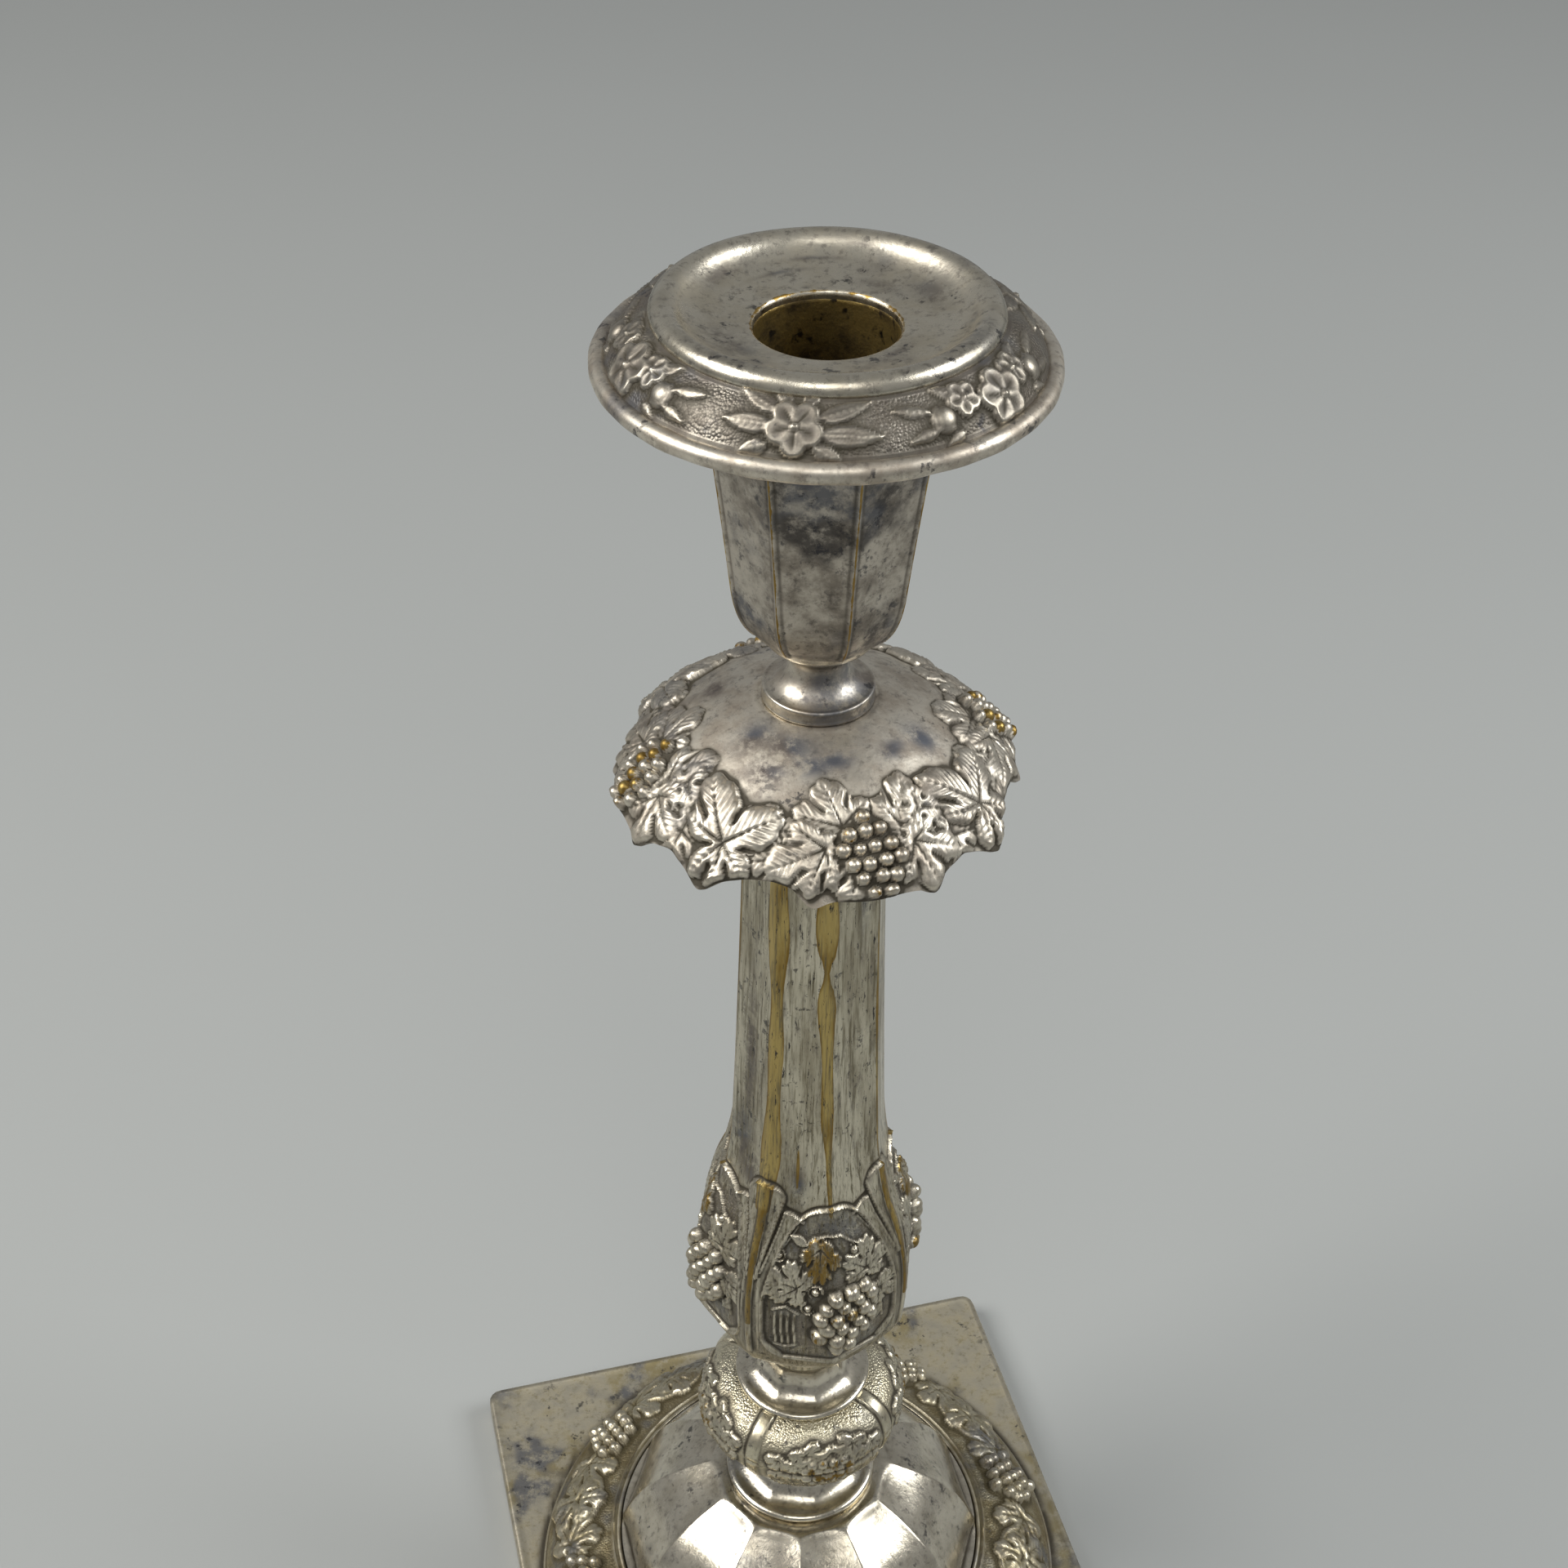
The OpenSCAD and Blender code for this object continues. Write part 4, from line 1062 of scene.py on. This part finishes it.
    # Darker ring round the seat under the neck: soiling plus painted shade where the neck covers the canopy.
    grime_and_shade = np.clip(grime_and_shade + 0.5 * soft_step(-s, -s_seat - 1.5, -s_seat + 0.3), 0, 1)
    head, tail = np.zeros((2, n)), np.zeros((15, n))
    marks = {"grime_and_shade": grime_and_shade, "high": high, **shell.extra}
    marks = {key: np.concatenate([head, value, tail]) for key, value in marks.items()}
    marks["inside"] = np.concatenate([head, 0 * shell.H, tail + 1])
    piece = make_mesh("canopy_leaves", points.reshape(-1, 3), quads, [], marks, 85)
    hang(piece, "canopy", RELIEF)


# ---------------------------------------------------------------- neck and socket


def build_neck():
    """Trumpet foot of the socket: a low upright rim, a hollow flare and a ring under the bowl."""
    z, top = NECK_Z, NECK_TOP
    foot = half_width("neck") - 0.2
    rows = outline(
        [ROD_HOLE, z], [foot - 0.1, z], [foot, z + 0.3], [foot - 0.15, z + 0.6], [foot - 0.2, z + 1.9],
        arc((foot - 0.5, z + 2.25), 0.42, -30, 100, 10),
        curve([foot - 0.9, z + 2.6], [foot - 4.0, z + 3.4], [5.1, z + 7.0], 30),
        curve([5.1, z + 7.0], [4.8, z + 8.2], [5.5, z + 9.0]),
        [5.9, z + 9.5], [6.0, top], [ROD_HOLE, top], step=0.22,
    )
    shell = Shell(rows, 160)
    inner = [[ROD_HOLE, top - 0.2], [ROD_HOLE, z + 0.2]]
    close_shell("neck_turned", "neck", shell, inner, NECK, 60)


def build_cup():
    """Small round bowl under the socket."""
    z, top = level("socket_cup"), level("socket_cup", True)
    rows = outline(
        [ROD_HOLE, z], curve([5.6, z], [9.2, z + 0.1], [9.6, top - 0.4]), [9.8, top], [ROD_HOLE, top],
        step=0.25,
    )
    shell = Shell(rows, 160)
    shell.extra["polish"] += 0.5
    inner = [[ROD_HOLE, top - 0.2], [ROD_HOLE, z + 0.2]]
    close_shell("socket_bowl", "socket_cup", shell, inner, SMOOTH, 60)


def build_socket():
    """Eight-sided tulip socket with a fine raised line along each corner."""
    z, top = SOCKET_Z, SOCKET_TOP
    low, high = 15.4, 20.8
    throat = [low, z + 11.5, 1]
    rows = outline(
        [[ROD_HOLE, z, 0]], [[9.6, z, 0.3]],
        curve([10.2, z + 0.1, 0.7], [low - 0.9, z + 2.2, 1], throat, 40),
        curve(throat, [low + 2, z + 30, 1], [high, top, 1], 60), [[high, top, 1]], step=0.5,
    )
    shell = Shell(rows, 480, sides=8, side_from=2.3, round_edge=0.8)
    x = np.radians(shell.edge_gap)[None, :] * shell.r[:, None]
    on = soft_step(shell.z, z + 0.6, z + 1.6)[:, None]
    shell.H += 0.3 * hill(x / 0.32) * on
    shell.H -= 0.08 * hill((x - 0.75) / 0.3) * on
    shell.extra["wear"] = 0.62 * hill(x / 0.3) * on
    shell.H += 0.22 * hill((shell.z - z - 0.9) / 0.45)[:, None]
    close_shell("socket_facets", "socket_shell", shell, inner_of(rows, 14), SOCKET, 60)


# ---------------------------------------------------------------- nozzle


def build_dish():
    """Bowl with a broad rolled rim and a lip that turns down into the candle hole."""
    floor = level("nozzle_tube", True) - 0.1
    hole, rim, roll = 11.35, RIM_Z - 0.1, 2.3
    rows = outline(
        [hole, floor - 1.6], curve([hole, floor - 0.7], [hole, floor + 0.1], [hole + 0.9, floor + 0.2], 14),
        curve([hole + 0.9, floor + 0.2], [17.0, floor + 0.6], [20.0, floor + 1.6], 24),
        curve([20.0, floor + 1.6], [21.8, floor + 2.4], [22.7, rim - 1.1], 16),
        curve([22.7, rim - 1.1], [23.8, rim], [DISH_R - roll - 0.1, rim], 12),
        arc((DISH_R - roll, rim - roll), roll, 90, -5, 24), [DISH_R - 0.6, rim - 2.6], step=0.28,
    )
    rows = rows[::-1]
    shell = Shell(rows, 360)
    shell.extra["polish"] += 0.5 * soft_step(shell.R, 23.5, 25)
    lip = hill((shell.R - hole - 0.3) / 0.4) * (shell.z > floor - 1.2)[:, None]
    shell.extra["wear"] = 0.5 * lip
    wobble = np.sin(np.radians(3 * shell.phi + 40)) + 0.6 * np.sin(np.radians(7 * shell.phi))
    shell.H += 0.05 * wobble[None, :] * soft_step(shell.R, 14, 22)
    up = shell.z > floor - 0.5
    for phi, r, wide, tall in (
        (80, 20, 6, 0.45), (100, 17.5, 5, 0.5), (130, 21, 6, 1.4), (60, 22.5, 3, 0.4), (-165, 17, 7, 3.5),
        (15, 19, 5, 3), (-60, 14, 5, 1.2), (-140, 21, 3, 1.5), (40, 15, 4, 1.5), (-20, 22, 3, 1.0),
    ):
        shell.smear(phi, np.interp(-r, -shell.r[up], shell.s[up]), wide, tall, 0.9)
    shell.H[0] = 0
    inner = [[hole + 0.4, floor - 1.6], [hole + 1.6, floor - 0.6], [19.5, floor + 0.4], [22.8, floor + 1.6],
        [24.9, rim - 1.6], [26.1, rim - 2.4]]
    close_shell("wax_dish", "nozzle_dish", shell, inner, SMOOTH, 60, "nozzle")


def build_band():
    """Sloping band of the pan: six big and six small flowers with leaves on a stippled ground."""
    top_r, low_r = DISH_R - 0.5, PAN_R - 2.4
    top_z, low_z = RIM_Z - 2.4, WIRE_Z + 1.0
    rows = outline(curve([low_r, low_z], [low_r - 2.2, top_z - 2.2], [top_r, top_z], 50),
        [top_r, top_z], step=0.33)
    shell = Shell(rows, 620)
    length = shell.s[-1]

    def down(s):
        """s measured down from the dish instead of up from the wire."""
        return length - s

    for k in range(3):
        a = -114.0 + 120 * k
        # angle, s from the dish, turn, length and width of each leaf
        for x, s, turn, size, wide in (
            (-5.4, 5.4, 92, 6.6, 1.05), (-4.6, 3.2, 66, 6.0, 1.0), (-6.4, 8.2, 112, 3.8, 0.9),
            (-2.2, 2.2, 30, 3.4, 0.8), (6.0, 4.0, -72, 6.8, 1.0), (6.2, 6.2, -94, 8.0, 1.15),
            (5.2, 8.0, -120, 4.4, 0.9), (2.4, 2.0, -30, 3.2, 0.8),
        ):
            shell.stamp(blade(1.2 * size, 1.4 * wide, 0.5), a + x, down(s), 1.2 * size + 1, turn=turn)
        shell.stamp(blossom(4.3, 0.8, first=36), a, down(5.4), 5.4)
        b = a + 60
        for side in (-1, 1):
            for x, s, turn, size, wide in ((22.5, 4.6, 78, 6.4, 0.8), (22.0, 7.4, 100, 5.2, 0.7),
                (12.5, 3.4, 60, 4.6, 1.0), (15.0, 8.6, 110, 3.4, 0.7)):
                shell.stamp(blade(size, 1.2 * wide, 0.5), b + side * x, down(s), size + 1, -side * turn)
            shell.stamp(ball(1.9, 0.5), b + side * 19.5, down(6.0), 3)
            loop = np.linspace(-2.2, 1.2, 14)
            tendril = [(b + side * (19.5 + 3.4 * np.cos(q)), down(6.0) + 1.9 * np.sin(q)) for q in loop]
            shell.line(tendril, 0.4, 0.5)
            shell.stamp(blossom(2.9, 0.75, first=20 * side), b + side * 11.5, down(4.0), 3.6)
        shell.stamp(blossom(4.6, 1.0, first=0), b + 1.5, down(6.2), 5.2)
    ground = (shell.H < 0.03) & (shell.S > 1.2) & (shell.S < length - 1.2)
    shell.extra["stipple"][ground] = 1.0
    shell.H *= soft_step(shell.S, 0, 1.0) * soft_step(length - shell.S, 0, 0.8)
    close_shell("flower_band", "nozzle_band", shell, inner_of(rows, 8, 0.7), BAND, 85, "nozzle")


def build_rim_wire():
    """Rolled edge of the pan: a soft bead with a thin lip under it."""
    r, z = PAN_R, WIRE_Z
    rows = outline(arc((r - 1.68, z), 1.62, -75, 175, 40), step=0.2)
    shell = Shell(rows[:, :2], 360)
    waves = ((3, 10), (7, 80), (13, 200), (29, 50))
    shell.H += sum(0.035 * np.sin(np.radians(f * shell.phi + p)) for f, p in waves)[None, :]
    inner = [[r - 2.9, z - 0.5], [r - 1.9, z - 1.1]]
    close_shell("pan_edge", "nozzle_rim_wire", shell, inner, RELIEF, 70, "nozzle")


def build_tube():
    """Candle tube, bare brass inside and out."""
    lo, hi = level("nozzle_tube"), level("nozzle_tube", True)
    r = 11.3
    rows = outline(
        [r + 0.8, lo], [r + 0.8, hi - 1.4], [r + 0.5, hi - 1.3], [r, hi - 1.2], [r, lo], step=0.5,
    )
    shell = Shell(rows, 160)
    top = soft_step(shell.z, hi - 1.6, hi - 0.3)[:, None] + 0 * shell.H
    shell.extra["polish"] += top
    inner = [[r + 0.2, lo], [r + 0.6, lo]]
    close_shell("candle_tube", "nozzle_tube", shell, inner, BARE, 50, "nozzle")


def dress_hidden_nodes():
    """CAD nodes that keep their own shape get a finish of their own."""
    iron = ("clamp_disc", "foot_washer", "foot_nut", "top_washer", "top_nut", "tie_rod")
    brass = ("stem_foot_disc", "stem_top_disc", "socket_floor", "socket_sleeve", "nozzle_stop")
    for material, nodes in ((IRON, iron), (BARE, brass)):
        for node in nodes:
            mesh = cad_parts[node].data
            mesh.materials.clear()
            mesh.materials.append(material)


# ---------------------------------------------------------------- stage


def build_stage():
    """Pale floor, pale world and three soft area lights."""
    floor = bpy.data.meshes.new("floor")
    size = 6.0
    floor.from_pydata([(-size, -size, 0), (size, -size, 0), (size, size, 0), (-size, size, 0)], [],
        [(0, 1, 2, 3)])
    piece = bpy.data.objects.new("floor", floor)
    bpy.context.scene.collection.objects.link(piece)
    n = Nodes("pale_floor")
    colour = n.mix(n.noise(3, 2), (0.325, 0.335, 0.325, 1), (0.34, 0.35, 0.34, 1))
    floor.materials.append(n.finish(colour, 0.0, 0.7, n.noise(300, 2), 0.05, 0.0005))
    world = bpy.data.worlds.new("studio")
    bpy.context.scene.world = world
    world.use_nodes = True
    back = world.node_tree.nodes["Background"]
    back.inputs["Color"].default_value = (0.96, 0.98, 1.0, 1)
    back.inputs["Strength"].default_value = 0.3
    for name, place, aim, size, power, tint in (
        ("key_softbox", (-1.3, 0.1, 1.45), (0, 0, 0.15), 1.0, 30, (1.0, 0.985, 0.96)),
        ("side_softbox", (1.25, -0.3, 1.15), (0, 0, 0.15), 0.8, 16, (0.97, 0.985, 1.0)),
        ("front_softbox", (-0.25, -1.0, 1.6), (0, 0, 0.2), 0.8, 6, (1.0, 0.99, 0.97)),
    ):
        light = bpy.data.lights.new(name, "AREA")
        light.shape = "SQUARE"
        light.size = size
        light.energy = power
        light.color = tint
        lamp = bpy.data.objects.new(name, light)
        bpy.context.scene.collection.objects.link(lamp)
        lamp.location = place
        lamp.rotation_euler = (Vector(aim) - Vector(place)).to_track_quat("-Z", "Y").to_euler()


CAMERA_PLACE = (-0.08535, -0.29589, 0.4853)
CAMERA_FORWARD = (0.2041, 0.75979, -0.6173)
CAMERA_RIGHT = (0.96768, -0.25197, 0.00981)
CAMERA_LENS = 51.04


def build_camera():
    """The camera looks down on the stick from in front, a little to the left of the foot's middle line."""
    place, forward, right = (Vector(v) for v in (CAMERA_PLACE, CAMERA_FORWARD, CAMERA_RIGHT))
    forward.normalize()
    right.normalize()
    up = right.cross(forward)
    turn = Matrix((right, up, -forward)).transposed()
    camera = bpy.data.cameras.new("camera")
    camera.sensor_width = 36.0
    camera.lens = CAMERA_LENS
    camera.clip_start = 0.01
    holder = bpy.data.objects.new("camera", camera)
    bpy.context.scene.collection.objects.link(holder)
    holder.matrix_world = Matrix.Translation(place) @ turn.to_4x4()
    bpy.context.scene.camera = holder


build_base_plate()
build_vine_ring()
build_dome()
build_spool("lower_spool_flare", "lower_spool", half_width("lower_spool"), 2.6, 9.8, 11.5)
build_spool("upper_spool_flare", "upper_spool", half_width("upper_spool"), 1.9, 8.8, 9.3)
build_knop()
build_stem()
build_canopy()
build_neck()
build_cup()
build_socket()
build_dish()
build_band()
build_rim_wire()
build_tube()
dress_hidden_nodes()
build_stage()
build_camera()
bpy.context.scene.view_settings.view_transform = "Standard"
